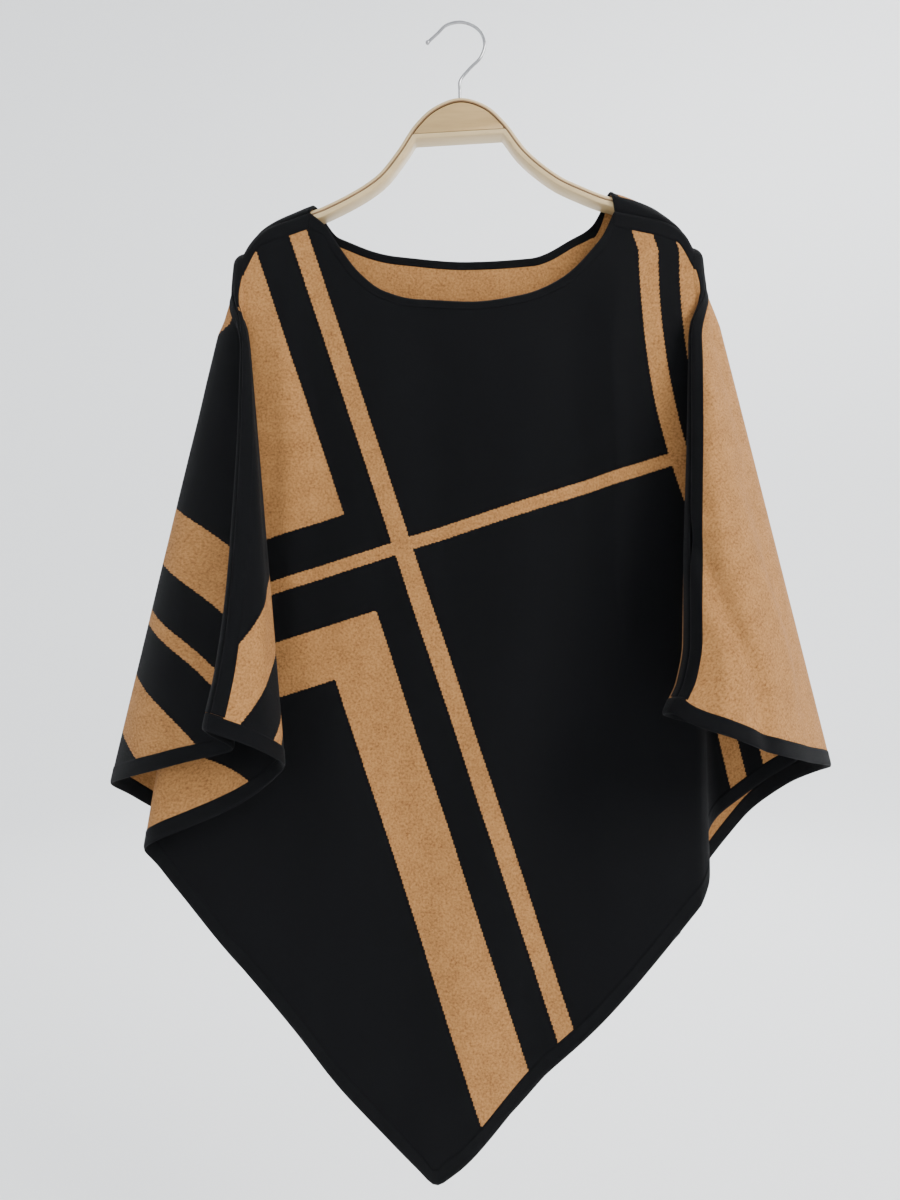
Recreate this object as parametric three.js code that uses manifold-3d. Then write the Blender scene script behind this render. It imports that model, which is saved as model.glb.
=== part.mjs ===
// A knitted poncho sweater hanging from a laminated wood hanger.
//
// Two large square-cut panels, a front and a back, hang with one corner down. Their upper
// edges are seamed together over the arms, and narrow knitted bands edge the neck, the seams
// and the hem. The cloth lies over the hanger's arms and falls in folds from its two tips.
//
// Millimetres. X is to the right, Y away from the viewer and Z up. The origin is the inside
// of the hook's top, where the hanger rests on whatever carries it.
import * as THREE from 'three';
import Module from 'manifold-3d';
import { mergeVertices } from 'three/addons/utils/BufferGeometryUtils.js';

const wasm = await Module();
wasm.setup();

// Cloth and bands
const CLOTH_THICK = 2.0;
const BAND_THICK = 2.8;
const SEAM_BAND = 15;
const HEM_BAND = 15;
const NECK_BAND = 9;
const SHOULDER_BAND_DEPTH = 17;
const JOINT_GAP = 0.3;
const STEEPEST = 2.5;

// The cloth's round over the hanger's arms and tips, and how its folds form below them
const CAP_RADIUS = 12;
const QUARTER = CAP_RADIUS * Math.PI / 2;
const FOLD_SOFTNESS = 20;
const FOLDS_FULL_AT = 90;
const TURN_FULL_AT = 90;
const BEND = 4;
const TURN_START = 8;
const TURN_WIDTH = 18;

// Each side hangs from one tip of the hanger. A row of folds is a straight line of cloth down
// from the tip: flat is its angle in the flat cut, from the front's plumb line at 0 through the
// seam to the back's plumb line; out and fore are its angles from the plumb line when it hangs,
// away from the body and toward the viewer; long is its length down to the hem. The two sides'
// seams differ by what the whole garment is turned on its hook.
const LEFT = {
  tip: { x: -209.8, z: -228.5 },
  out: -1,
  seam: 40.5,
  turnAt: 64,
  folds: [
    { flat: 0, out: 0, fore: 0.5, long: 701 },
    { flat: 5, out: 5, fore: 0.3, long: 640 },
    { flat: 8, out: 8, fore: 0.3, long: 608 },
    { flat: 9.4, out: 9.3, fore: 1.3, long: 593.5 },
    { flat: 11, out: 8.2, fore: 2.9, long: 581 },
    { flat: 13.5, out: 5.2, fore: 3.7, long: 564 },
    { flat: 16, out: 2, fore: 4.4, long: 549 },
    { flat: 18.5, out: -0.8, fore: 5, long: 536 },
    { flat: 21.5, out: -3.2, fore: 5.6, long: 523 },
    { flat: 25, out: -4.9, fore: 6.1, long: 512 },
    { flat: 28.2, out: -5.9, fore: 7, long: 505 },
    { flat: 30.8, out: -6.4, fore: 9.2, long: 499.6 },
    { flat: 33, out: -5.3, fore: 11.2, long: 493 },
    { flat: 35.6, out: -2.9, fore: 13, long: 485 },
    { flat: 38.1, out: -0.2, fore: 14.3, long: 478 },
    { flat: 40.5, out: 2.2, fore: 15, long: 472 },
    { flat: 42.2, out: 3, fore: 13.8, long: 470 },
    { flat: 44.5, out: 2.7, fore: 11.8, long: 473 },
    { flat: 47.2, out: 1.4, fore: 9.9, long: 479 },
    { flat: 49.8, out: 0.6, fore: 8.7, long: 485 },
    { flat: 52.4, out: 2.4, fore: 8.1, long: 490 },
    { flat: 55.3, out: 5.4, fore: 7, long: 498 },
    { flat: 58.3, out: 8.6, fore: 5.3, long: 511 },
    { flat: 61.3, out: 11.6, fore: 2.7, long: 527 },
    { flat: 64, out: 13.5, fore: -0.4, long: 543 },
    { flat: 66.8, out: 12.2, fore: -3.2, long: 561 },
    { flat: 70, out: 9, fore: -4.3, long: 583 },
    { flat: 74.5, out: 4.8, fore: -4.4, long: 620 },
    { flat: 81, out: 0, fore: -2.2, long: 690 },
  ],
};
const RIGHT = {
  tip: { x: 227.5, z: -222.6 },
  out: 1,
  seam: 45,
  turnAt: 73,
  folds: [
    { flat: 0, out: 0, fore: 2.6, long: 640 },
    { flat: 1.5, out: 0.9, fore: 1.9, long: 622 },
    { flat: 3.2, out: 1.3, fore: 0.3, long: 604 },
    { flat: 5, out: 1.7, fore: -1.4, long: 586 },
    { flat: 7.2, out: 3.4, fore: -2.7, long: 568 },
    { flat: 10, out: 6.2, fore: -2.6, long: 550 },
    { flat: 13, out: 9.1, fore: -1.9, long: 533 },
    { flat: 16.2, out: 11.8, fore: -0.4, long: 518.5 },
    { flat: 18.3, out: 11.2, fore: 1.7, long: 511 },
    { flat: 23, out: 7, fore: 4.8, long: 495 },
    { flat: 28.8, out: 2.2, fore: 8, long: 480 },
    { flat: 34.5, out: -3.2, fore: 9.9, long: 470 },
    { flat: 39.2, out: -6.8, fore: 10.6, long: 465 },
    { flat: 42.4, out: -8, fore: 12.2, long: 464 },
    { flat: 45, out: -7.6, fore: 14.2, long: 465 },
    { flat: 47.5, out: -5.8, fore: 15.7, long: 473 },
    { flat: 52.4, out: -1, fore: 16.4, long: 486 },
    { flat: 57.5, out: 4, fore: 14.6, long: 498 },
    { flat: 63.3, out: 8.6, fore: 11, long: 507 },
    { flat: 69.3, out: 12, fore: 6, long: 517 },
    { flat: 74, out: 13.4, fore: 0.6, long: 532 },
    { flat: 77, out: 11.4, fore: -3.4, long: 552 },
    { flat: 81, out: 7.4, fore: -5.2, long: 587 },
    { flat: 86.5, out: 2.2, fore: -4.6, long: 646 },
    { flat: 90, out: 0, fore: -2.2, long: 694 },
  ],
};

// Heights along the body, left to right. The ridge is where the cloth passes over the arms
// (a plain bridge across the neck), and behind is how far in front of it the seam lies.
const RIDGE = [
  { x: -209.8, z: -228.5 },
  { x: -203, z: -217 },
  { x: -192, z: -205 },
  { x: -178, z: -196 },
  { x: -160, z: -188 },
  { x: -146.8, z: -182.5 },
  { x: -100, z: -167 },
  { x: 0, z: -155 },
  { x: 100, z: -158 },
  { x: 150.7, z: -168.5 },
  { x: 186.2, z: -182.5 },
  { x: 208, z: -197 },
  { x: 220, z: -209 },
  { x: 227.5, z: -222.6 },
];
const SEAM_ARC = [
  { x: -209.8, arc: 0 },
  { x: -192, arc: 9 },
  { x: -170, arc: 14 },
  { x: -145, arc: 16 },
  { x: 150.7, arc: 28 },
  { x: 175, arc: 24 },
  { x: 200, arc: 16 },
  { x: 215, arc: 9 },
  { x: 227.5, arc: 0 },
];
const NECK_LEFT = -145;
const NECK_RIGHT = 150.7;
const FRONT_NECK = [
  { x: NECK_LEFT, arc: 16 },
  { x: -129, arc: 36 },
  { x: -118, arc: 57 },
  { x: -98.6, arc: 88 },
  { x: -73, arc: 112 },
  { x: -41, arc: 125 },
  { x: 10, arc: 130.5 },
  { x: 59, arc: 123 },
  { x: 98, arc: 105 },
  { x: 137, arc: 59 },
  { x: NECK_RIGHT, arc: 28 },
];
const BACK_NECK = [
  { x: NECK_LEFT, arc: -16 },
  { x: -141, arc: 0 },
  { x: -134, arc: 18 },
  { x: -119, arc: 41 },
  { x: -59, arc: 71 },
  { x: 4, arc: 81 },
  { x: 71, arc: 76 },
  { x: 119, arc: 50 },
  { x: 132, arc: 38 },
  { x: 141, arc: 21 },
  { x: 146, arc: 4 },
  { x: NECK_RIGHT, arc: -28 },
];
const FRONT_HEM = [
  { x: -76.3, z: -1074.8 },
  { x: -40, z: -1111 },
  { x: -23.4, z: -1122 },
  { x: -6, z: -1109 },
  { x: 76.2, z: -1021 },
  { x: 141.9, z: -955 },
];
const BACK_HEM = [
  { x: -60, z: -1071 },
  { x: -6, z: -1127 },
  { x: 11.2, z: -1139 },
  { x: 28, z: -1126 },
  { x: 85.7, z: -1060 },
  { x: 154.7, z: -992 },
];

// Soft drapes down the body: where each starts at the top, how wide it is, how far it drifts
// on its way to the hem and how deep it is there, toward the viewer where that is positive.
const FRONT_DRAPES = [
  { x: -150, width: 26, drift: 30, depth: 5 },
  { x: -72, width: 30, drift: 26, depth: -5 },
  { x: 12, width: 34, drift: -8, depth: 6 },
  { x: 110, width: 30, drift: -34, depth: -5 },
];
const BACK_DRAPES = [
  { x: -118, width: 30, drift: 18, depth: -6 },
  { x: -20, width: 36, drift: 10, depth: 6 },
  { x: 92, width: 32, drift: -16, depth: -6 },
];
const DRAPE_LENGTH = 800;
const DRAPE_FREE = 40;

// Hanger: two bent strips of wood with a block between them under the arch
const HANGER_DEPTH = 18.6;
const STRIP_THICK = 4.6;
const STRIP_GROOVE = 0.6;
const EDGE_DROP = 3.4;
const SEAT_GAP = 2.3;
const END_ROUND = 34;
const END_DEPTH = 0.45;
const BLOCK_DEPTH = 17.6;
const BLOCK_BASE = { z: -110, slope: 0.06 };
const UPPER_SECTION = [
  { y: -6.2, down: 0 },
  { y: 6.2, down: 0 },
  { y: 8.2, down: 1.2 },
  { y: HANGER_DEPTH / 2, down: EDGE_DROP },
  { y: HANGER_DEPTH / 2, down: STRIP_THICK },
  { y: -HANGER_DEPTH / 2, down: STRIP_THICK },
  { y: -HANGER_DEPTH / 2, down: EDGE_DROP },
  { y: -8.2, down: 1.2 },
];
const LOWER_SECTION = [
  { y: -HANGER_DEPTH / 2, down: 0 },
  { y: HANGER_DEPTH / 2, down: 0 },
  { y: HANGER_DEPTH / 2, down: 3.4 },
  { y: 8.5, down: STRIP_THICK },
  { y: -8.5, down: STRIP_THICK },
  { y: -HANGER_DEPTH / 2, down: 3.4 },
];
const LEFT_ARM_AT = [-202, -198, -191, -182, -171, -158, -146, -134];
const RIGHT_ARM_AT = [141, 153, 168, 184, 198, 207, 215];
const ARCH_TOP = [
  { x: -110, z: -171.5 },
  { x: -90, z: -159.5 },
  { x: -77.2, z: -149 },
  { x: -60, z: -127 },
  { x: -44, z: -103 },
  { x: -25, z: -85.5 },
  { x: 0.7, z: -76.5 },
  { x: 26, z: -83.5 },
  { x: 44.6, z: -99.5 },
  { x: 67, z: -128 },
  { x: 97.2, z: -152 },
  { x: 120, z: -163 },
];
// The hook's wire, from its foot in the arch to the ball at its end
const WIRE = 3.2;
const WIRE_SIDES = 8;
const WIRE_STEPS = 26;
const BALL = 4.6;
const HOOK_PATH = [
  { x: 0.7, z: -76.1 },
  { x: 0.6, z: -66 },
  { x: 0.9, z: -56.5 },
  { x: 10, z: -44.5 },
  { x: 20.7, z: -33.5 },
  { x: 25.1, z: -20.7 },
  { x: 21.5, z: -8.6 },
  { x: 11.8, z: -0.9 },
  { x: 0, z: 1.6 },
  { x: -12.8, z: -1.6 },
  { x: -21.7, z: -9.9 },
  { x: -31, z: -18.4 },
];

// Mesh steps
const FAN_COLUMNS = 14;
const SHOULDER_COLUMNS = 7;
const NECK_COLUMNS = 6;
const NECK_COLUMNS_START = 14;
const NECK_CORNER = [0, 1.1, 2.3, 3.5, 4.8, 6.6, 9, 12.5, 18, 27];
const ROWS = 20;
const ROW_SPREAD = 2.6;
const ROW_EVEN = 0.12;
const SEAM_CELLS = 3;
const HEM_CELLS = 1;
const NECK_CELLS = 4;
const TIP_STEPS = 4;
const ARM_STEPS = 36;
const TOP_MARGIN = 1.5;
const NORMAL_STEP = 0.3;
const CROWDED = 0.25;

const radians = THREE.MathUtils.degToRad;
const lerp = THREE.MathUtils.lerp;
const smooth = (t) => THREE.MathUtils.smoothstep(t, 0, 1);

// A smooth curve through a table's rows that never swings past them.
function along(rows, key, column, at) {
  let i = 0;
  while (i < rows.length - 2 && at > rows[i + 1][key]) {
    i += 1;
  }
  const step = (k) => rows[k + 1][key] - rows[k][key];
  const rise = (k) => (rows[k + 1][column] - rows[k][column]) / step(k);
  const slope = (k) => {
    if (k === 0) {
      return rise(0);
    }
    if (k === rows.length - 1) {
      return rise(k - 1);
    }
    const before = rise(k - 1);
    const after = rise(k);
    return before * after <= 0 ? 0 : 2 * before * after / (before + after);
  };
  const t = (at - rows[i][key]) / step(i);
  const [t2, t3] = [t * t, t * t * t];
  return (2 * t3 - 3 * t2 + 1) * rows[i][column]
    + (t3 - 2 * t2 + t) * step(i) * slope(i)
    + (3 * t2 - 2 * t3) * rows[i + 1][column]
    + (t3 - t2) * step(i) * slope(i + 1);
}

// The same table read past its ends, as if it turned over there.
function pastEnds(rows, column, flat) {
  const last = rows[rows.length - 1];
  if (flat < rows[0].flat) {
    return 2 * rows[0][column] - along(rows, 'flat', column, -flat);
  }
  if (flat > last.flat) {
    return 2 * last[column] - along(rows, 'flat', column, 2 * last.flat - flat);
  }
  return along(rows, 'flat', column, flat);
}

// Near a tip the folds are still soft, so the table is averaged over a wider stretch.
const BLUR = [
  { at: -2, share: 0.06 },
  { at: -1.33, share: 0.12 },
  { at: -0.67, share: 0.2 },
  { at: 0, share: 0.24 },
  { at: 0.67, share: 0.2 },
  { at: 1.33, share: 0.12 },
  { at: 2, share: 0.06 },
];
function soft(rows, column, flat, spread) {
  return BLUR.reduce((sum, tap) => sum + tap.share * pastEnds(rows, column, flat + tap.at * spread), 0);
}

// Round over the arm, then straight down: how far out, down and along a length of cloth reaches.
function overCap(length) {
  const turned = Math.min(length, QUARTER) / CAP_RADIUS;
  return {
    aside: CAP_RADIUS * Math.sin(turned),
    drop: CAP_RADIUS * (1 - Math.cos(turned)),
    run: Math.max(0, length - QUARTER),
  };
}

// A point of the cloth that hangs from a tip, by its flat angle and its distance from the tip.
function fanPoint(side, flat, radius) {
  const { aside, drop, run } = overCap(radius);
  const bend = THREE.MathUtils.radToDeg(BEND / Math.max(radius, BEND));
  const spread = Math.max(bend, FOLD_SOFTNESS * (1 - smooth(run / FOLDS_FULL_AT)));
  const out = radians(soft(side.folds, 'out', flat, spread));
  const fore = radians(soft(side.folds, 'fore', flat, spread));
  const loose = 180 * smooth((flat - TURN_START) / (2 * side.seam - TURN_START));
  const folded = 180 * smooth((flat - side.turnAt) / TURN_WIDTH + 0.5);
  const turn = radians(lerp(loose, folded, smooth(run / TURN_FULL_AT)));
  return new THREE.Vector3(
    side.tip.x + side.out * (Math.sin(turn) * aside + run * Math.sin(out) * Math.cos(fore)),
    -Math.cos(turn) * aside - run * Math.sin(fore),
    side.tip.z - drop - run * Math.cos(out) * Math.cos(fore),
  );
}

const ridge = (x) => along(RIDGE, 'x', 'z', x);
const slopeOf = (height, x) => (height(x + 1) - height(x - 1)) / 2;

function foreAt(x, face) {
  const start = LEFT.folds.at(face > 0 ? 0 : -1).fore;
  const end = RIGHT.folds.at(face > 0 ? 0 : -1).fore;
  return radians(face * lerp(start, end, smooth((x - LEFT.tip.x) / (RIGHT.tip.x - LEFT.tip.x))));
}

function drapeAt(x, run, face) {
  const fall = run / DRAPE_LENGTH;
  const free = smooth((x - LEFT.tip.x) / DRAPE_FREE) * smooth((RIGHT.tip.x - x) / DRAPE_FREE);
  const drapes = face > 0 ? FRONT_DRAPES : BACK_DRAPES;
  return drapes.reduce((sum, drape) => {
    const across = (x - drape.x - drape.drift * fall) / drape.width;
    return sum + free * drape.depth * fall * Math.exp(-across * across);
  }, 0);
}

// A point of the body between the tips. The arc runs from the ridge, down the front where it
// is positive and down the back where it is negative.
function bodyPoint(x, arc) {
  const face = arc < 0 ? -1 : 1;
  const { aside, drop, run } = overCap(Math.abs(arc));
  const fore = foreAt(x, face);
  const away = aside + run * Math.sin(fore) + drapeAt(x, run, face);
  return new THREE.Vector3(x, -face * away, ridge(x) - drop - run * Math.cos(fore));
}

const onBody = (x, arc) => ({ x, arc });
const onFan = (side, flat, radius) => ({ side, flat, radius });
const place = (spot) => (spot.side ? fanPoint(spot.side, spot.flat, spot.radius) : bodyPoint(spot.x, spot.arc));

function normalAt(spot) {
  const near = (first, second) => {
    if (!spot.side) {
      return place(onBody(spot.x + first, spot.arc + second));
    }
    const turn = THREE.MathUtils.radToDeg(first / spot.radius);
    return place(onFan(spot.side, spot.flat + turn, spot.radius + second));
  };
  const across = near(NORMAL_STEP, 0).sub(near(-NORMAL_STEP, 0));
  const down = near(0, NORMAL_STEP).sub(near(0, -NORMAL_STEP));
  const flip = spot.side ? spot.side.out : 1;
  return across.cross(down).normalize().multiplyScalar(flip);
}

// Edges of the flat cut
const hemRadius = (side, flat) => along(side.folds, 'flat', 'long', flat);

function hemSlant(side, flat) {
  const swing = (hemRadius(side, flat + 0.5) - hemRadius(side, flat - 0.5)) / radians(hemRadius(side, flat));
  return Math.hypot(1, swing);
}

const insideHem = (side, flat, depth) => hemRadius(side, flat) - depth * hemSlant(side, flat);

function arcAtHeight(x, z, face) {
  const fore = foreAt(x, face);
  return QUARTER + (ridge(x) - CAP_RADIUS - z) / Math.cos(fore);
}

function tipHemHeight(side, face) {
  const run = side.folds.at(face > 0 ? 0 : -1).long - QUARTER;
  return side.tip.z - CAP_RADIUS - run * Math.cos(foreAt(side.tip.x, face));
}

function makePanel(face) {
  const hemRows = [
    { x: LEFT.tip.x, z: tipHemHeight(LEFT, face) },
    ...(face > 0 ? FRONT_HEM : BACK_HEM),
    { x: RIGHT.tip.x, z: tipHemHeight(RIGHT, face) },
  ];
  const seam = (x) => face * along(SEAM_ARC, 'x', 'arc', x);
  const neck = (x) => along(face > 0 ? FRONT_NECK : BACK_NECK, 'x', 'arc', x);
  const hem = (x) => arcAtHeight(x, along(hemRows, 'x', 'z', x), face);
  const inNeck = (x) => x > NECK_LEFT && x < NECK_RIGHT;
  const slant = (edge, x) => {
    const within = THREE.MathUtils.clamp(x, LEFT.tip.x + 1, RIGHT.tip.x - 1);
    return Math.hypot(1, slopeOf((at) => ridge(at) - edge(at), within));
  };
  const bandDepth = (x) => {
    if (inNeck(x)) {
      const corner = smooth(Math.min(x - NECK_LEFT, NECK_RIGHT - x) / SHOULDER_BAND_DEPTH);
      const even = Math.min(SHOULDER_BAND_DEPTH, NECK_BAND * slant(neck, x));
      return lerp(SHOULDER_BAND_DEPTH, even, corner);
    }
    const fromTip = Math.min(x - LEFT.tip.x, RIGHT.tip.x - x);
    return lerp(fanStart, SHOULDER_BAND_DEPTH, smooth(fromTip / SHOULDER_BAND_DEPTH));
  };
  const joint = (x) => (inNeck(x) ? neck(x) : seam(x)) + bandDepth(x);
  const jointInset = (x) => JOINT_GAP / 2 * Math.min(STEEPEST, slant(joint, x));
  const hemInset = (x, depth) => hem(x) - depth * Math.min(STEEPEST, slant(hem, x));
  return { face, seam, neck, hem, joint, jointInset, hemInset };
}

const fanStart = SEAM_BAND * Math.SQRT2 * TOP_MARGIN;
const bandAngle = (side, radius) => side.seam - THREE.MathUtils.radToDeg(Math.asin(SEAM_BAND / radius));
const flatFor = (panel, side, angle) => (panel.face > 0 ? angle : 2 * side.seam - angle);
const bodySpot = (panel, x, length) => onBody(x, panel.face * length);
const fanSpot = (panel, side, angle, radius) => onFan(side, flatFor(panel, side, angle), radius);

function bodyStations() {
  const shoulder = (from, to) => Array.from({ length: SHOULDER_COLUMNS }, (_, k) => lerp(from, to, k / SHOULDER_COLUMNS));
  const margin = NECK_CORNER.at(-1) + NECK_COLUMNS_START;
  const middle = Array.from({ length: NECK_COLUMNS + 1 }, (_, k) => {
    return lerp(NECK_LEFT + margin, NECK_RIGHT - margin, k / NECK_COLUMNS);
  });
  const neck = [
    ...NECK_CORNER.map((from) => NECK_LEFT + from),
    ...middle,
    ...NECK_CORNER.map((from) => NECK_RIGHT - from).reverse(),
  ];
  return [
    ...shoulder(LEFT.tip.x, NECK_LEFT),
    ...neck,
    ...shoulder(RIGHT.tip.x, NECK_RIGHT).reverse(),
  ];
}

// Where a fan column, a share of the way from the plumb line to the seam band, meets the hem band.
// The turn that shows as a length across a line from the tip, where the folds crowd it together.
function turnFor(panel, side, angle, radius, length) {
  const step = THREE.MathUtils.radToDeg(NORMAL_STEP / radius);
  const ahead = place(fanSpot(panel, side, angle + step, radius));
  const shown = ahead.distanceTo(place(fanSpot(panel, side, angle - step, radius)));
  return 2 * step * length / Math.max(shown, NORMAL_STEP * CROWDED);
}

function columnFoot(panel, side, share) {
  let radius = side.folds[0].long;
  for (let pass = 0; pass < 8; pass += 1) {
    radius = insideHem(side, flatFor(panel, side, share * bandAngle(side, radius)), HEM_BAND + JOINT_GAP / 2);
  }
  return radius;
}

const fall = (row) => lerp((row / ROWS) ** ROW_SPREAD, row / ROWS, ROW_EVEN);

function panelColumns(panel) {
  const half = JOINT_GAP / 2;
  const fan = (side, share) => {
    const foot = columnFoot(panel, side, share);
    return (row) => {
      const radius = lerp(fanStart + half, foot, fall(row));
      const edge = bandAngle(side, radius);
      return fanSpot(panel, side, share * (edge - turnFor(panel, side, edge, radius, half)), radius);
    };
  };
  const shares = Array.from({ length: FAN_COLUMNS }, (_, k) => (FAN_COLUMNS - k) / FAN_COLUMNS);
  const body = (x) => (row) => {
    const top = panel.joint(x) + panel.jointInset(x);
    return bodySpot(panel, x, lerp(top, panel.hemInset(x, HEM_BAND + half), fall(row)));
  };
  return [
    ...shares.map((share) => fan(LEFT, share)),
    ...bodyStations().map(body),
    ...shares.reverse().map((share) => fan(RIGHT, share)),
  ];
}

// A wall of even thickness on a grid of spots, closed round its edges.
function wall(grid, thickness) {
  const [rows, columns] = [grid.length, grid[0].length];
  const positions = [];
  for (const half of [thickness / 2, -thickness / 2]) {
    for (const row of grid) {
      for (const spot of row) {
        positions.push(...place(spot).addScaledVector(normalAt(spot), half).toArray());
      }
    }
  }
  const at = (layer, row, column) => (layer * rows + row) * columns + column;
  const index = [];
  const quad = (a, b, c, d) => index.push(a, b, c, a, c, d);
  for (let r = 0; r < rows - 1; r += 1) {
    for (let c = 0; c < columns - 1; c += 1) {
      quad(at(0, r, c), at(0, r, c + 1), at(0, r + 1, c + 1), at(0, r + 1, c));
      quad(at(1, r, c), at(1, r + 1, c), at(1, r + 1, c + 1), at(1, r, c + 1));
    }
  }
  for (let c = 0; c < columns - 1; c += 1) {
    quad(at(0, 0, c), at(1, 0, c), at(1, 0, c + 1), at(0, 0, c + 1));
    quad(at(0, rows - 1, c), at(0, rows - 1, c + 1), at(1, rows - 1, c + 1), at(1, rows - 1, c));
  }
  for (let r = 0; r < rows - 1; r += 1) {
    quad(at(0, r, 0), at(0, r + 1, 0), at(1, r + 1, 0), at(1, r, 0));
    quad(at(0, r, columns - 1), at(1, r, columns - 1), at(1, r + 1, columns - 1), at(0, r + 1, columns - 1));
  }
  return facingOut(positions, index);
}

function facingOut(positions, index) {
  const corner = (k) => new THREE.Vector3().fromArray(positions, 3 * k);
  let volume = 0;
  for (let k = 0; k < index.length; k += 3) {
    volume += corner(index[k]).dot(corner(index[k + 1]).cross(corner(index[k + 2])));
  }
  const geometry = new THREE.BufferGeometry();
  geometry.setAttribute('position', new THREE.Float32BufferAttribute(positions, 3));
  geometry.setIndex(volume > 0 ? index : index.reverse());
  geometry.computeVertexNormals();
  return geometry;
}

function acrossBand(columns, cells) {
  const steps = Array.from({ length: cells + 1 }, (_, k) => k / cells);
  return steps.map((t) => columns.map((column) => column(t)));
}

function panelGrid(panel) {
  const columns = panelColumns(panel);
  return Array.from({ length: ROWS + 1 }, (_, row) => columns.map((column) => column(row)));
}

function hemBandGrid(panel) {
  const half = JOINT_GAP / 2;
  const fan = (side) => {
    const angles = [];
    const start = side.seam - THREE.MathUtils.radToDeg(half / hemRadius(side, side.seam));
    const end = bandAngle(side, columnFoot(panel, side, 1));
    for (let k = 0; k < SEAM_CELLS; k += 1) {
      angles.push(lerp(start, end, k / SEAM_CELLS));
    }
    for (let k = FAN_COLUMNS; k > 0; k -= 1) {
      const share = k / FAN_COLUMNS;
      angles.push(share * bandAngle(side, columnFoot(panel, side, share)));
    }
    return angles.map((angle) => (t) => {
      const flat = flatFor(panel, side, angle);
      return onFan(side, flat, insideHem(side, flat, lerp(HEM_BAND - half, 0, t)));
    });
  };
  const body = (x) => (t) => bodySpot(panel, x, panel.hemInset(x, lerp(HEM_BAND - half, 0, t)));
  const columns = [
    ...fan(LEFT),
    ...bodyStations().map(body),
    ...fan(RIGHT).reverse(),
  ];
  return acrossBand(columns, HEM_CELLS);
}

// A seam band runs from the neck over the shoulder, round the tip and down to the hem band.
function seamBandGrid(panel, side) {
  const half = JOINT_GAP / 2;
  const neckEnd = side === LEFT ? NECK_LEFT : NECK_RIGHT;
  const shoulder = Array.from({ length: SHOULDER_COLUMNS + 1 }, (_, k) => {
    const x = k === 0 ? neckEnd + side.out * JOINT_GAP : lerp(neckEnd, side.tip.x, k / SHOULDER_COLUMNS);
    const outer = panel.seam(x) + half;
    return (t) => bodySpot(panel, x, lerp(outer, panel.joint(x) - panel.jointInset(x), t));
  });
  const tip = Array.from({ length: TIP_STEPS - 1 }, (_, k) => {
    const share = (k + 1) / TIP_STEPS;
    const from = share * fanStart;
    const outer = radians(side.seam - turnFor(panel, side, side.seam, from, half));
    const inner = radians(share * bandAngle(side, fanStart));
    const edge = new THREE.Vector2(Math.sin(outer), Math.cos(outer)).multiplyScalar(from);
    const foot = new THREE.Vector2(Math.sin(inner), Math.cos(inner)).multiplyScalar(fanStart - half);
    return (t) => {
      const flat = edge.clone().lerp(foot, t);
      return fanSpot(panel, side, THREE.MathUtils.radToDeg(Math.atan2(flat.x, flat.y)), flat.length());
    };
  });
  const end = bandAngle(side, columnFoot(panel, side, 1));
  const arm = Array.from({ length: ROWS + 1 }, (_, row) => (t) => {
    const flat = flatFor(panel, side, lerp(side.seam, end, t));
    const foot = insideHem(side, flat, HEM_BAND + half);
    const start = fanStart + (row === 0 ? -half : half) * t;
    const radius = lerp(start, foot, fall(row));
    const outer = side.seam - turnFor(panel, side, side.seam, radius, half);
    const edge = bandAngle(side, radius);
    const inner = edge + turnFor(panel, side, edge, radius, half);
    return fanSpot(panel, side, lerp(outer, inner, t), radius);
  });
  return acrossBand([...shoulder, ...tip, ...arm], SEAM_CELLS);
}

function neckBandGrid(panel) {
  const stations = bodyStations().filter((x) => x >= NECK_LEFT && x <= NECK_RIGHT);
  const columns = stations.map((x) => (t) => {
    const inner = panel.joint(x) - panel.jointInset(x);
    return bodySpot(panel, x, lerp(panel.neck(x), inner, t));
  });
  return acrossBand(columns, NECK_CELLS);
}

// The cloth's round meets the shoulders of the wooden bar first, which sets the bar's height.
function armTop(x) {
  const side = HANGER_DEPTH / 2;
  const rise = Math.sqrt(CAP_RADIUS ** 2 - side ** 2);
  const cloth = BAND_THICK / 2 * Math.hypot(1, slopeOf(ridge, x), side / rise);
  return { x, z: ridge(x) - (CAP_RADIUS - rise) - cloth - SEAT_GAP + EDGE_DROP };
}

const topLine = new THREE.CatmullRomCurve3(
  [...LEFT_ARM_AT.map(armTop), ...ARCH_TOP, ...RIGHT_ARM_AT.map(armTop)].map((p) => new THREE.Vector3(p.x, 0, p.z)),
  false,
  'centripetal',
).getSpacedPoints(ARM_STEPS);

function below(depth) {
  return topLine.map((point, k) => {
    const before = topLine[Math.max(0, k - 1)];
    const after = topLine[Math.min(ARM_STEPS, k + 1)];
    const ahead = after.clone().sub(before).normalize();
    return { x: point.x + depth * ahead.z, z: point.z - depth * ahead.x };
  });
}

// A bent strip: its section, listed round from the top, is carried between two lines.
function strip(upper, lower, section) {
  const positions = [];
  upper.forEach((top, k) => {
    const fromEnd = Math.min(top.x - upper[0].x, upper.at(-1).x - top.x);
    const round = Math.sin(Math.PI / 2 * Math.min(1, fromEnd / END_ROUND));
    section.forEach(({ y, down }) => {
      const t = down / STRIP_THICK;
      positions.push(lerp(top.x, lower[k].x, t), y * lerp(END_DEPTH, 1, round), lerp(top.z, lower[k].z, t));
    });
  });
  const sides = section.length;
  const index = [];
  for (let k = 0; k < upper.length - 1; k += 1) {
    for (let side = 0; side < sides; side += 1) {
      const next = (side + 1) % sides;
      const [a, b, c, d] = [k * sides + side, k * sides + next, (k + 1) * sides + next, (k + 1) * sides + side];
      index.push(a, b, c, a, c, d);
    }
  }
  const last = (upper.length - 1) * sides;
  for (let side = 1; side < sides - 1; side += 1) {
    index.push(0, side + 1, side, last, last + side, last + side + 1);
  }
  return facingOut(positions, index);
}

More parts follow.
